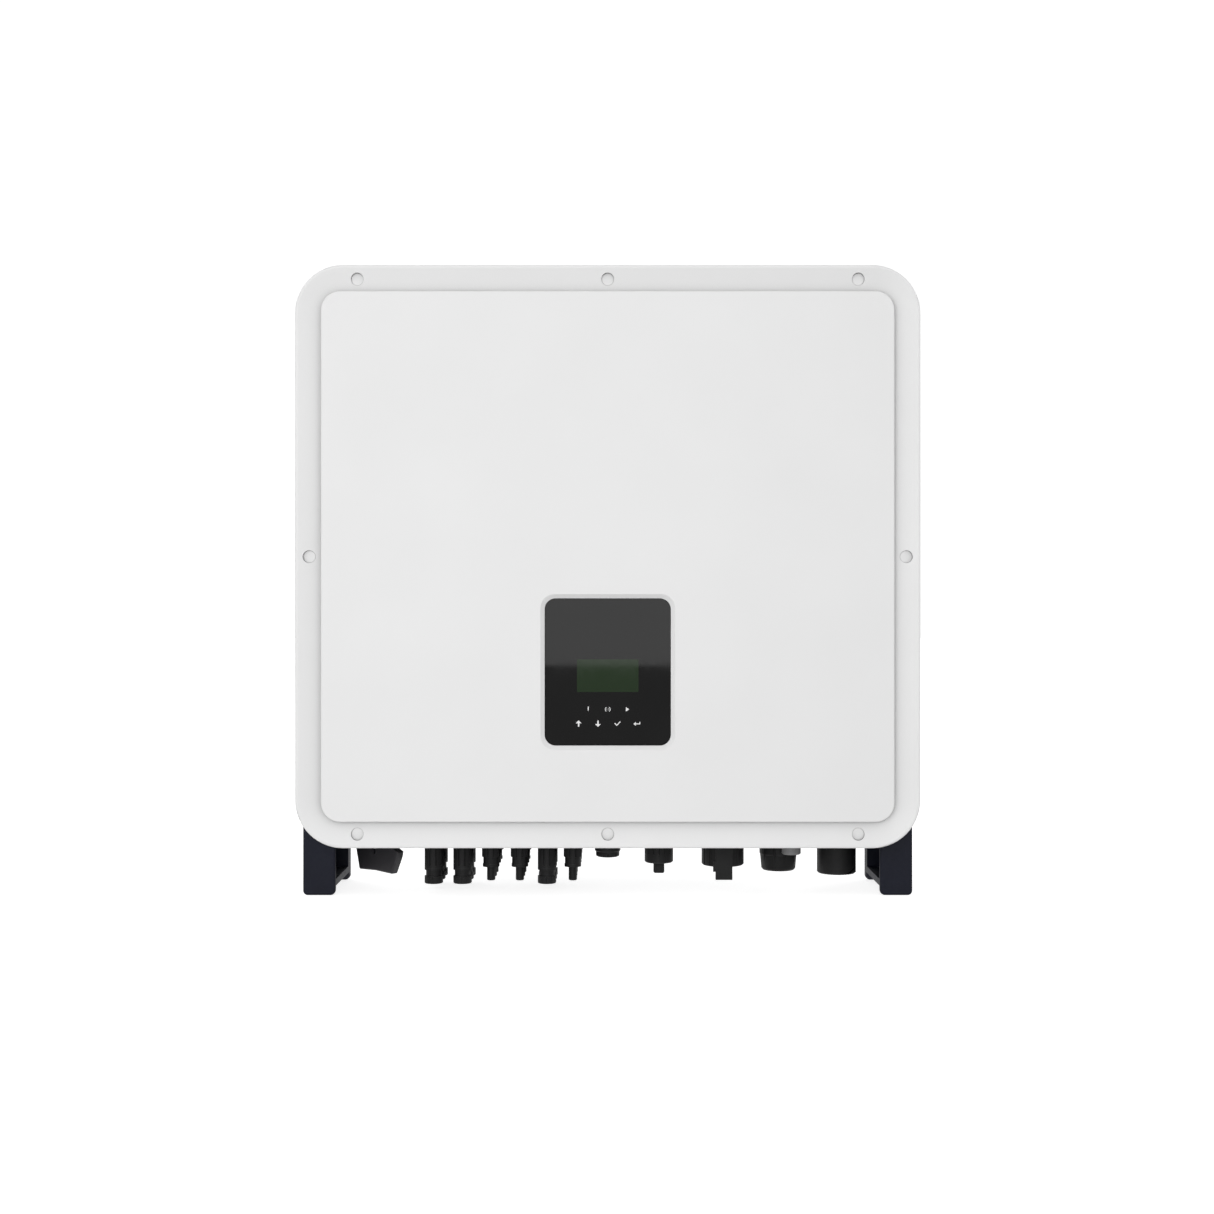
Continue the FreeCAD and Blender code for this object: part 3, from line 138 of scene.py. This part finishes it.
class Paint:
    """A node material under construction."""

    def __init__(self, name):
        self.material = bpy.data.materials.new(name)
        self.material.use_nodes = True
        self.tree = self.material.node_tree
        self.shader = self.tree.nodes["Principled BSDF"]
        self.place = self.add("ShaderNodeTexCoord").outputs["Object"]

    def add(self, kind, **settings):
        """A new shader node with these settings."""
        node = self.tree.nodes.new(kind)
        for key, value in settings.items():
            setattr(node, key, value)
        return node

    def join(self, source, target):
        """A wire from an output to an input."""
        self.tree.links.new(source, target)

    def stretched(self, scale):
        """The object's own coordinates, scaled along each axis."""
        mapping = self.add("ShaderNodeMapping")
        mapping.inputs["Scale"].default_value = scale
        self.join(self.place, mapping.inputs["Vector"])
        return mapping.outputs["Vector"]

    def noise(self, size, detail=3.0, roughness=0.5, place=None):
        """Noise whose lumps are about `size` metres across."""
        node = self.add("ShaderNodeTexNoise")
        node.inputs["Scale"].default_value = 1 / size
        node.inputs["Detail"].default_value = detail
        node.inputs["Roughness"].default_value = roughness
        self.join(place or self.place, node.inputs["Vector"])
        return node.outputs["Fac"]

    def cells(self, size):
        """Rounded cells about `size` metres across, as a height."""
        node = self.add("ShaderNodeTexVoronoi", feature="SMOOTH_F1")
        node.inputs["Scale"].default_value = 1 / size
        self.join(self.place, node.inputs["Vector"])
        return node.outputs["Distance"]

    def bricks(self, width, height, joint, offset, colours):
        """Upright bricks that face -Y, from two brick colours and a joint colour."""
        node = self.add("ShaderNodeTexBrick", offset=offset)
        sizes = {"Scale": 1.0, "Brick Width": width, "Row Height": height, "Mortar Size": joint}
        for key, value in sizes.items():
            node.inputs[key].default_value = value
        for key, value in zip(("Color1", "Color2", "Mortar"), colours):
            node.inputs[key].default_value = value
        upright = self.add("ShaderNodeMapping")
        upright.inputs["Rotation"].default_value = (math.radians(90), 0, 0)
        self.join(self.place, upright.inputs["Vector"])
        self.join(upright.outputs["Vector"], node.inputs["Vector"])
        return node

    def mapped(self, factor, start, end, low=0.0, high=1.0):
        """A factor turned from the range start to end into the range low to high."""
        node = self.add("ShaderNodeMapRange")
        limits = {"From Min": start, "From Max": end, "To Min": low, "To Max": high}
        for key, value in limits.items():
            node.inputs[key].default_value = value
        self.join(factor, node.inputs["Value"])
        return node.outputs["Result"]

    def blend(self, factor, first, second):
        """Colour that goes from the first to the second with the factor."""
        node = self.add("ShaderNodeMix", data_type="RGBA")
        self.join(factor, node.inputs["Factor"])
        for key, value in (("A", first), ("B", second)):
            socket = next(s for s in node.inputs if s.name == key and s.type == "RGBA")
            if isinstance(value, tuple):
                socket.default_value = value
            else:
                self.join(value, socket)
        return next(s for s in node.outputs if s.type == "RGBA")

    def mottled(self, noise, first, second):
        """Colour that wanders between two shades with the noise."""
        return self.blend(self.mapped(noise, *NOISE_RANGE), first, second)

    def colour(self, value):
        """The base colour, from a colour output."""
        self.join(value, self.shader.inputs["Base Color"])

    def set(self, **values):
        """Constant values set on the shader itself."""
        for key, value in values.items():
            self.shader.inputs[key.replace("_", " ")].default_value = value

    def rough(self, noise, low, high):
        """Roughness that wanders between two values with the noise."""
        self.join(self.mapped(noise, *NOISE_RANGE, low, high), self.shader.inputs["Roughness"])

    def bump(self, height, depth, strength=1.0, below=None):
        """Surface relief `depth` metres deep, on top of the relief below it."""
        node = self.add("ShaderNodeBump")
        node.inputs["Distance"].default_value = depth
        node.inputs["Strength"].default_value = strength
        self.join(height, node.inputs["Height"])
        if below is not None:
            self.join(below, node.inputs["Normal"])
        self.join(node.outputs["Normal"], self.shader.inputs["Normal"])
        return node.outputs["Normal"]

    def painted_hollow_shade(self, base, dark, reach, start=0.5, end=0.95):
        """Painted shade: the base colour, turning to the dark colour deep in grooves and corners, where
        other surfaces keep light away.
        """
        open_sky = self.add("ShaderNodeAmbientOcclusion", samples=8)
        open_sky.inputs["Distance"].default_value = reach
        return self.blend(self.mapped(open_sky.outputs["AO"], start, end), dark, base)

    def painted_edge_highlight(self, base, highlight_colour, width=0.6 * MM):
        """Painted highlight: the base colour, turning to the highlight colour where edges are sharp."""
        bevel = self.add("ShaderNodeBevel", samples=4)
        bevel.inputs["Radius"].default_value = width
        geometry = self.add("ShaderNodeNewGeometry")
        dot = self.add("ShaderNodeVectorMath", operation="DOT_PRODUCT")
        self.join(bevel.outputs["Normal"], dot.inputs[0])
        self.join(geometry.outputs["Normal"], dot.inputs[1])
        return self.blend(self.mapped(dot.outputs["Value"], HIGHLIGHT_FROM, HIGHLIGHT_TO), base, highlight_colour)


# ---------------------------------------------------------------- materials, one for each slot


def cover_paint():
    """Near-white powder coat with a fine orange-peel surface, and painted shade in its grooves and
    corners.
    """
    paint = Paint("cover_paint")
    base = paint.mottled(paint.noise(90 * MM, detail=2.0), grey(233), grey(235))
    # Painted shade: the paint turns grey 211 in the grooves round the raised panel, in the screw recesses
    # and in other corners.
    paint.colour(paint.painted_hollow_shade(base, grey(211), reach=20 * MM))
    grain = paint.noise(1.1 * MM, detail=3.0, roughness=0.6)
    paint.rough(paint.noise(4 * MM, detail=4.0), 0.36, 0.46)
    peel = paint.bump(paint.cells(2.2 * MM), depth=0.02 * MM, strength=0.35)
    paint.bump(grain, depth=0.02 * MM, strength=0.5, below=peel)
    paint.set(IOR=1.45, Coat_Weight=0.06, Coat_Roughness=0.2)
    return paint.material


def casting():
    """Dark textured powder coat on cast aluminium, with a painted highlight along its sharp edges."""
    paint = Paint("casting")
    speckle = paint.noise(1.6 * MM, detail=5.0, roughness=0.7)
    base = paint.mottled(speckle, srgb(52, 55, 62), srgb(66, 69, 77))
    # Painted highlight: sharp edges turn a lighter grey.
    paint.colour(paint.painted_edge_highlight(base, srgb(96, 99, 106)))
    paint.rough(paint.noise(3 * MM, detail=4.0), 0.5, 0.66)
    sand = paint.noise(0.9 * MM, detail=4.0, roughness=0.7)
    sanded = paint.bump(sand, depth=0.06 * MM, strength=0.6)
    paint.bump(paint.noise(12 * MM, detail=2.0), depth=0.1 * MM, strength=0.25, below=sanded)
    paint.set(Metallic=0.15)
    return paint.material


def moulded(name, dark, light, gloss, grain=0.7 * MM, edge=None, shadow=None):
    """Moulded plastic with a spark-eroded grain, a painted shadow colour where it stands close to others,
    and a painted highlight colour along sharp edges.
    """
    paint = Paint(name)
    base = paint.mottled(paint.noise(20 * MM, detail=3.0), dark, light)
    if shadow:
        base = paint.painted_hollow_shade(base, shadow, reach=40 * MM, start=0.25)
    paint.colour(paint.painted_edge_highlight(base, edge) if edge else base)
    paint.rough(paint.noise(2.5 * MM, detail=4.0), *gloss)
    paint.bump(paint.noise(grain, detail=3.0, roughness=0.65), depth=0.03 * MM, strength=0.6)
    return paint.material


def foot_plastic():
    """Navy-black moulding of the feet, with a painted highlight along its sharp edges."""
    return moulded("foot_plastic", srgb(14, 18, 36), srgb(18, 22, 41), (0.45, 0.6), edge=srgb(34, 37, 49))


def black_plastic():
    """Black glass-filled nylon of connectors, fans and inserts, with painted shade where it stands close
    to other parts and a painted highlight along its sharp edges.
    """
    dark, light, edge = srgb(33, 33, 34), srgb(40, 40, 41), srgb(52, 52, 53)
    # Painted shade: near-black grey 6 close to other parts; painted highlight: sharp edges turn a lighter
    # grey.
    return moulded("black_plastic", dark, light, (0.4, 0.55), edge=edge, shadow=grey(6))


def knob_plastic():
    """Black switch handle, slightly smoother than the connectors. Its greys are lighter than the
    connectors' black as painted light that makes up for the shade under the cover, and its sharp edges
    carry a painted highlight.
    """
    # Painted light: lighter greys than the connectors to offset the shade under the cover; the edge
    # colour is a painted highlight.
    dark, light, edge = srgb(58, 57, 60), srgb(63, 62, 65), srgb(78, 77, 80)
    return moulded("knob_plastic", dark, light, (0.36, 0.48), grain=0.5 * MM, edge=edge)


def valve_membrane():
    """Black moulding of the breather valve, with a painted highlight along its sharp edges."""
    dark, light, edge = srgb(30, 30, 31), srgb(35, 35, 36), srgb(54, 54, 55)
    return moulded("valve_membrane", dark, light, (0.35, 0.5), grain=0.5 * MM, edge=edge)


def relay_box():
    """Matt relay cases."""
    return moulded("relay_box", srgb(40, 40, 42), srgb(48, 48, 50), (0.5, 0.65))


def module_case():
    """Moulded power-module cases."""
    return moulded("module_case", srgb(52, 52, 55), srgb(60, 60, 63), (0.45, 0.6))


def film_box():
    """Potted film capacitors in straw-coloured boxes."""
    return moulded("film_box", srgb(196, 186, 150), srgb(208, 198, 164), (0.25, 0.4))


def capacitor_can():
    """Sleeved capacitor cans."""
    return moulded("capacitor_can", srgb(36, 44, 62), srgb(44, 52, 72), (0.2, 0.32))


def display_glass():
    """Smoked display window: nearly black, with a clean gloss and faint smears."""
    paint = Paint("display_glass")
    paint.colour(paint.mottled(paint.noise(50 * MM, detail=2.0), grey(29), grey(31)))
    smear = paint.noise(12 * MM, detail=4.0, roughness=0.6, place=paint.stretched((1.0, 1.0, 0.4)))
    paint.rough(smear, 0.02, 0.045)
    paint.bump(paint.noise(30 * MM, detail=1.0), depth=0.01 * MM, strength=0.1)
    paint.set(IOR=1.5)
    return paint.material


def screen():
    """Unlit character screen: dark green with a fine grid of dots."""
    paint = Paint("screen")
    colours = (srgb(43, 58, 39), srgb(41, 55, 37), srgb(38, 52, 35))
    dots = paint.bricks(0.6 * MM, 0.6 * MM, joint=0.08 * MM, offset=0.0, colours=colours)
    paint.colour(dots.outputs["Color"])
    paint.rough(paint.noise(6 * MM, detail=2.0), 0.03, 0.06)
    paint.set(IOR=1.5)
    return paint.material


def board():
    """Green solder mask with faint copper tracks under it."""
    paint = Paint("board")
    colours = (srgb(20, 88, 48), srgb(24, 96, 54), srgb(46, 122, 74))
    tracks = paint.bricks(14 * MM, 3.5 * MM, joint=0.4 * MM, offset=0.5, colours=colours)
    paint.colour(tracks.outputs["Color"])
    paint.rough(paint.noise(5 * MM), 0.25, 0.38)
    paint.bump(tracks.outputs["Fac"], depth=0.03 * MM, strength=0.5)
    return paint.material


def lamp():
    """Small clear indicator lamps, unlit."""
    paint = Paint("lamp")
    cloud = paint.noise(1 * MM, detail=2.0)
    paint.colour(paint.mottled(cloud, srgb(222, 222, 214), srgb(236, 236, 230)))
    paint.rough(cloud, 0.1, 0.2)
    paint.set(Transmission_Weight=0.4, IOR=1.5)
    return paint.material


def rubber(name, dark, light):
    """Matt moulded rubber with a dusty bloom."""
    paint = Paint(name)
    bloom = paint.noise(8 * MM, detail=5.0, roughness=0.65)
    paint.colour(paint.mottled(bloom, dark, light))
    paint.rough(bloom, 0.68, 0.85)
    paint.bump(paint.noise(0.6 * MM, detail=3.0), depth=0.03 * MM, strength=0.6)
    return paint.material


def rubber_black():
    """Black gland seals and touch pads."""
    return rubber("rubber_black", grey(24), srgb(34, 34, 33))


def rubber_grey():
    """Grey sealing cord."""
    return rubber("rubber_grey", grey(78), srgb(92, 92, 90))


def metal(name, dark, light, gloss, grain=(1.0, 1.0, 60.0), depth=0.01 * MM, metallic=1.0):
    """Metal with fine grain lines along one axis."""
    paint = Paint(name)
    lines = paint.noise(20 * MM, detail=5.0, roughness=0.6, place=paint.stretched(grain))
    paint.colour(paint.mottled(lines, dark, light))
    paint.rough(lines, *gloss)
    paint.bump(lines, depth, strength=0.5)
    paint.set(Metallic=metallic)
    return paint.material


def steel_screw():
    """Zinc-plated fasteners, wire and posts, with an even grain."""
    dark, light = srgb(150, 152, 156), srgb(178, 180, 184)
    return metal("steel_screw", dark, light, (0.26, 0.4), grain=(40.0, 40.0, 40.0))


def steel_post():
    """Dull grey earth post with turning marks."""
    dark, light = srgb(128, 128, 129), srgb(146, 146, 147)
    marks = (1.0, 1.0, 90.0)
    return metal("steel_post", dark, light, (0.42, 0.55), grain=marks, depth=0.02 * MM, metallic=0.25)


def aluminium_fins():
    """Extruded aluminium with faint drawing lines up the fins."""
    dark, light = srgb(150, 152, 155), srgb(176, 178, 181)
    return metal("aluminium_fins", dark, light, (0.34, 0.5), grain=(60.0, 60.0, 1.0))


def contact_brass():
    """Plated brass pins."""
    return metal("contact_brass", srgb(196, 168, 98), srgb(214, 188, 122), (0.2, 0.32))


def steel_sheet():
    """Galvanised sheet with a faint spangle."""
    paint = Paint("steel_sheet")
    spangle = paint.add("ShaderNodeTexVoronoi")
    spangle.inputs["Scale"].default_value = 1 / (5 * MM)
    paint.join(paint.place, spangle.inputs["Vector"])
    shade = paint.add("ShaderNodeSeparateColor")
    paint.join(spangle.outputs["Color"], shade.inputs["Color"])
    paint.colour(paint.blend(shade.outputs["Red"], srgb(148, 152, 156), srgb(172, 176, 180)))
    paint.rough(shade.outputs["Green"], 0.34, 0.46)
    paint.bump(paint.noise(4 * MM, detail=4.0), depth=0.02 * MM, strength=0.4)
    paint.set(Metallic=1.0)
    return paint.material


def copper_winding():
    """Enamelled copper wire wound on a ring."""
    paint = Paint("copper_winding")
    wires = paint.noise(4 * MM, detail=2.0, place=paint.stretched((1.0, 8.0, 1.0)))
    paint.colour(paint.mottled(wires, srgb(150, 74, 34), srgb(198, 112, 58)))
    paint.rough(wires, 0.2, 0.34)
    paint.bump(wires, depth=0.3 * MM, strength=0.8)
    paint.set(Metallic=0.9, Coat_Weight=0.4)
    return paint.material


SLOT_MAKERS = {
    "cover_paint": cover_paint,
    "casting": casting,
    "foot_plastic": foot_plastic,
    "black_plastic": black_plastic,
    "knob_plastic": knob_plastic,
    "display_glass": display_glass,
    "screen": screen,
    "board": board,
    "lamp": lamp,
    "rubber_black": rubber_black,
    "rubber_grey": rubber_grey,
    "steel_screw": steel_screw,
    "steel_sheet": steel_sheet,
    "steel_post": steel_post,
    "aluminium_fins": aluminium_fins,
    "copper_winding": copper_winding,
    "contact_brass": contact_brass,
    "capacitor_can": capacitor_can,
    "film_box": film_box,
    "relay_box": relay_box,
    "module_case": module_case,
    "valve_membrane": valve_membrane,
}
finishes = {slot: make() for slot, make in SLOT_MAKERS.items()}


def print_ink():
    """White screen-printed ink."""
    paint = Paint("print_ink")
    patch = paint.noise(0.8 * MM, detail=3.0)
    paint.colour(paint.mottled(patch, grey(226), grey(238)))
    paint.rough(patch, 0.4, 0.55)
    return paint.material


def dress_cad():
    """Give every CAD part the material of its slot."""
    for row in frame["record"]["subparts"]:
        mesh = nodes[row["node"]].data
        mesh.materials.clear()
        mesh.materials.append(finishes[row["material_slot"]])


# ---------------------------------------------------------------- mesh helpers


def keep(mesh_data, name, material):
    """Turn a bmesh into a named flat-shaded piece that rides on the housing."""
    mesh = bpy.data.meshes.new(name)
    mesh_data.normal_update()
    mesh_data.to_mesh(mesh)
    mesh_data.free()
    mesh.materials.append(material)
    piece = bpy.data.objects.new(name, mesh)
    bpy.context.scene.collection.objects.link(piece)
    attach(piece, HOUSING)
    return piece


def plate(bm, corners, front, thickness):
    """Add a flat plate that faces -Y, from (x, z) corners."""
    near = [bm.verts.new((x, front, z)) for x, z in corners]
    far = [bm.verts.new((x, front + thickness, z)) for x, z in corners]
    bm.faces.new(near)
    bm.faces.new(list(reversed(far)))
    count = len(corners)
    for index in range(count):
        after = (index + 1) % count
        bm.faces.new((near[after], near[index], far[index], far[after]))


def rounded(x, z, width, height, radius, steps=6):
    """Corners of a rounded rectangle round (x, z)."""
    corners = []
    for sign_x, sign_z, start in ((1, 1, 0), (-1, 1, 90), (-1, -1, 180), (1, -1, 270)):
        centre_x = x + sign_x * (width / 2 - radius)
        centre_z = z + sign_z * (height / 2 - radius)
        for step in range(steps + 1):
            angle = math.radians(start + 90 * step / steps)
            corners.append((centre_x + radius * math.cos(angle), centre_z + radius * math.sin(angle)))
    return corners


def arc(radius, start, turn, steps=8):
    """Points along an arc about (0, 0), from start degrees through a turn in degrees."""
    angles = [math.radians(start + turn * step / steps) for step in range(steps + 1)]
    return [(radius * math.cos(angle), radius * math.sin(angle)) for angle in angles]


def stroke(bm, path, width, front, thickness):
    """Add a printed line of even width along (x, z) points, with round ends and joints."""
    half = width / 2
    for (x0, z0), (x1, z1) in zip(path, path[1:]):
        length = math.hypot(x1 - x0, z1 - z0)
        side_x, side_z = -(z1 - z0) / length * half, (x1 - x0) / length * half
        corners = [(x0 + side_x, z0 + side_z), (x0 - side_x, z0 - side_z)]
        corners += [(x1 - side_x, z1 - side_z), (x1 + side_x, z1 + side_z)]
        plate(bm, corners, front, thickness)
    for x, z in path:
        end = rounded(x, z, width, width, half * END_RADIUS, steps=3)
        plate(bm, end, front - thickness * END_LIFT, thickness)


# ---------------------------------------------------------------- display


def middle_height(name):
    """Height of the middle of a CAD part."""
    low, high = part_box(name)
    return (low.z + high.z) / 2


def symbol(name, x, z, face, ink, strokes=(), shapes=(), width=LINE):
    """One printed symbol, drawn in millimetres about its centre, on a face that looks along -Y."""
    bm = bmesh.new()
    for path in strokes:
        stroke(bm, [(x + u * MM, z + v * MM) for u, v in path], width, face, INK_THICK)
    for shape in shapes:
        plate(bm, [(x + u * MM, z + v * MM) for u, v in shape], face - SHAPE_LIFT, INK_THICK)
    keep(bm, name, ink)


def display():
    """Screen window and printed symbols on the glass."""
    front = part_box("display_glass")[0].y
    window = rounded(0, middle_height("lcd_module"), WINDOW_WIDTH, WINDOW_HEIGHT, WINDOW_CORNER)
    bm = bmesh.new()
    plate(bm, window, front - WINDOW_LIFT, WINDOW_THICK)
    keep(bm, "screen_window", finishes["screen"])

    ink = print_ink()
    face = front - INK_LIFT

    z = middle_height("status_leds")
    bar_and_dot = [[(0, 2.0), (0, -0.6)], [(0, -2.0), (0, -2.0 - DOT)]]
    symbol("sign_alarm", ALARM_X, z, face, ink, bar_and_dot)
    waves = [arc(radius, start, WAVE_TURN) for start in WAVE_STARTS for radius in WAVE_RADII]
    symbol("sign_link", LINK_X, z, face, ink, waves + [[(0, 0), (0, DOT)]], width=FINE_LINE)
    symbol("sign_run", RUN_X, z, face, ink, shapes=[[(1.5, 0), (-1.3, 1.9), (-1.3, -1.9)]])

    z = middle_height("touch_pads")
    up_head = [(0, 2.7), (-2.5, 0.3), (2.5, 0.3)]
    symbol("key_up", UP_X, z, face, ink, [[(0, 0.6), (0, -2.1)]], [up_head], HEAVY_LINE)
    down_head = [(u, -v) for u, v in reversed(up_head)]
    symbol("key_down", DOWN_X, z, face, ink, [[(0, -0.6), (0, 2.1)]], [down_head], HEAVY_LINE)
    symbol("key_accept", ACCEPT_X, z, face, ink, [[(-2.1, 0.2), (-0.6, -1.5), (2.2, 1.5)]])
    enter_head = [(-2.9, -0.2), (-0.9, 1.5), (-0.9, -1.9)]
    enter_tail = [(-1.2, -0.2), (2.4, -0.2), (2.4, 1.2)]
    symbol("key_enter", ENTER_X, z, face, ink, [enter_tail], [enter_head])


# ---------------------------------------------------------------- stage, lights and camera


def floor_paint():
    """Pale floor of a light table: it glows, so shadows stay faint, and is clear from below."""
    paint = Paint("floor_paint")
    paint.colour(paint.mottled(paint.noise(0.6, detail=2.0), grey(214), grey(220)))
    paint.set(Roughness=0.9, Emission_Color=WHITE, Emission_Strength=FLOOR_GLOW)
    side = paint.add("ShaderNodeNewGeometry")
    see_through = paint.add("ShaderNodeBsdfTransparent")
    mix = paint.add("ShaderNodeMixShader")
    paint.join(side.outputs["Backfacing"], mix.inputs[0])
    paint.join(paint.shader.outputs["BSDF"], mix.inputs[1])
    paint.join(see_through.outputs["BSDF"], mix.inputs[2])
    paint.join(mix.outputs["Shader"], paint.tree.nodes["Material Output"].inputs["Surface"])
    return paint.material


def card_paint():
    """White reflector card that glows evenly."""
    paint = Paint("card_paint")
    paint.colour(paint.mottled(paint.noise(1.5, detail=2.0), grey(200), grey(210)))
    paint.set(Roughness=1.0, Emission_Color=WHITE, Emission_Strength=CARD_GLOW)
    return paint.material


def sheet(name, corners, material):
    """One flat stage sheet through four points."""
    mesh = bpy.data.meshes.new(name)
    mesh.from_pydata(corners, [], [(0, 1, 2, 3)])
    mesh.materials.append(material)
    piece = bpy.data.objects.new(name, mesh)
    bpy.context.scene.collection.objects.link(piece)
    return piece


def surround():
    """Even studio surround: white in view, darker straight below, dim in frontal reflections."""
    world = bpy.data.worlds.new("studio")
    bpy.context.scene.world = world
    world.use_nodes = True
    tree = world.node_tree

    def ramp(source, low, high, start, end):
        """A value that goes from start to end while the source goes from low to high."""
        node = tree.nodes.new("ShaderNodeMapRange")
        node.inputs["From Min"].default_value = low
        node.inputs["From Max"].default_value = high
        for key, value in (("To Min", start), ("To Max", end)):
            if isinstance(value, float):
                node.inputs[key].default_value = value
            else:
                tree.links.new(value, node.inputs[key])
        tree.links.new(source, node.inputs["Value"])
        return node.outputs["Result"]

    sky = tree.nodes["Background"]
    sky.inputs["Color"].default_value = WHITE
    way = tree.nodes.new("ShaderNodeSeparateXYZ")
    tree.links.new(tree.nodes.new("ShaderNodeTexCoord").outputs["Generated"], way.inputs["Vector"])
    path = tree.nodes.new("ShaderNodeLightPath")
    bands = tree.nodes.new("ShaderNodeValToRGB")
    tree.links.new(ramp(way.outputs["Z"], -1.0, 1.0, 0.0, 1.0), bands.inputs["Fac"])
    stops = bands.color_ramp.elements
    stops.remove(stops[1])
    for place, value in SKY_BANDS:
        stop = stops[0] if place == 0 else stops.new(place)
        stop.color = (value, value, value, 1.0)
    light = bands.outputs["Color"]
    mirrored = ramp(way.outputs["Y"], *SKY_TURN, SKY_MIRRORED, SKY_MIRRORED_BEHIND)
    glossy = ramp(path.outputs["Is Glossy Ray"], 0.0, 1.0, light, mirrored)
    seen = ramp(path.outputs["Is Camera Ray"], 0.0, 1.0, glossy, SKY_SEEN)
    tree.links.new(seen, sky.inputs["Strength"])


def stage():
    """Large pale floor, the surround, and white cards that only reflections see."""
    low = cad_box[0][2]
    around = ((-1, -1), (1, -1), (1, 1), (-1, 1))
    corners = [(FLOOR_HALF * u, FLOOR_HALF * v, low) for u, v in around]
    floor = sheet("floor", corners, floor_paint())
    floor.visible_diffuse = False
    floor.visible_glossy = False
    white = card_paint()
    for name, (y, half, bottom, top) in CARDS.items():
        corners = [(-half, y, bottom), (half, y, bottom), (half, y, top), (-half, y, top)]
        card = sheet(name, corners, white)
        card.visible_camera = False
        card.visible_diffuse = False
        card.visible_shadow = False
    surround()


def soft_light(name, place, size, power, mirrored):
    """A square soft light that looks at the object."""
    data = bpy.data.lights.new(name, "AREA")
    data.shape = "SQUARE"
    data.size = size
    data.energy = power
    light = bpy.data.objects.new(name, data)
    bpy.context.scene.collection.objects.link(light)
    light.location = place
    light.rotation_euler = (Vector(LIGHT_AIM) - Vector(place)).to_track_quat("-Z", "Y").to_euler()
    light.visible_camera = False
    light.visible_glossy = mirrored


def camera():
    """Level camera in front of the cover."""
    data = bpy.data.cameras.new("camera")
    data.sensor_width = CAMERA_SENSOR
    data.lens = CAMERA_LENS
    data.clip_end = CAMERA_REACH
    view = bpy.data.objects.new("camera", data)
    bpy.context.scene.collection.objects.link(view)
    view.location = (CAMERA_X, cad_box[0][1] - CAMERA_DISTANCE, CAMERA_Z)
    view.rotation_euler = (math.radians(90), 0, 0)
    bpy.context.scene.camera = view


dress_cad()
display()
stage()
for name, settings in LIGHTS.items():
    soft_light(name, *settings)
camera()
bpy.context.scene.view_settings.view_transform = "Standard"
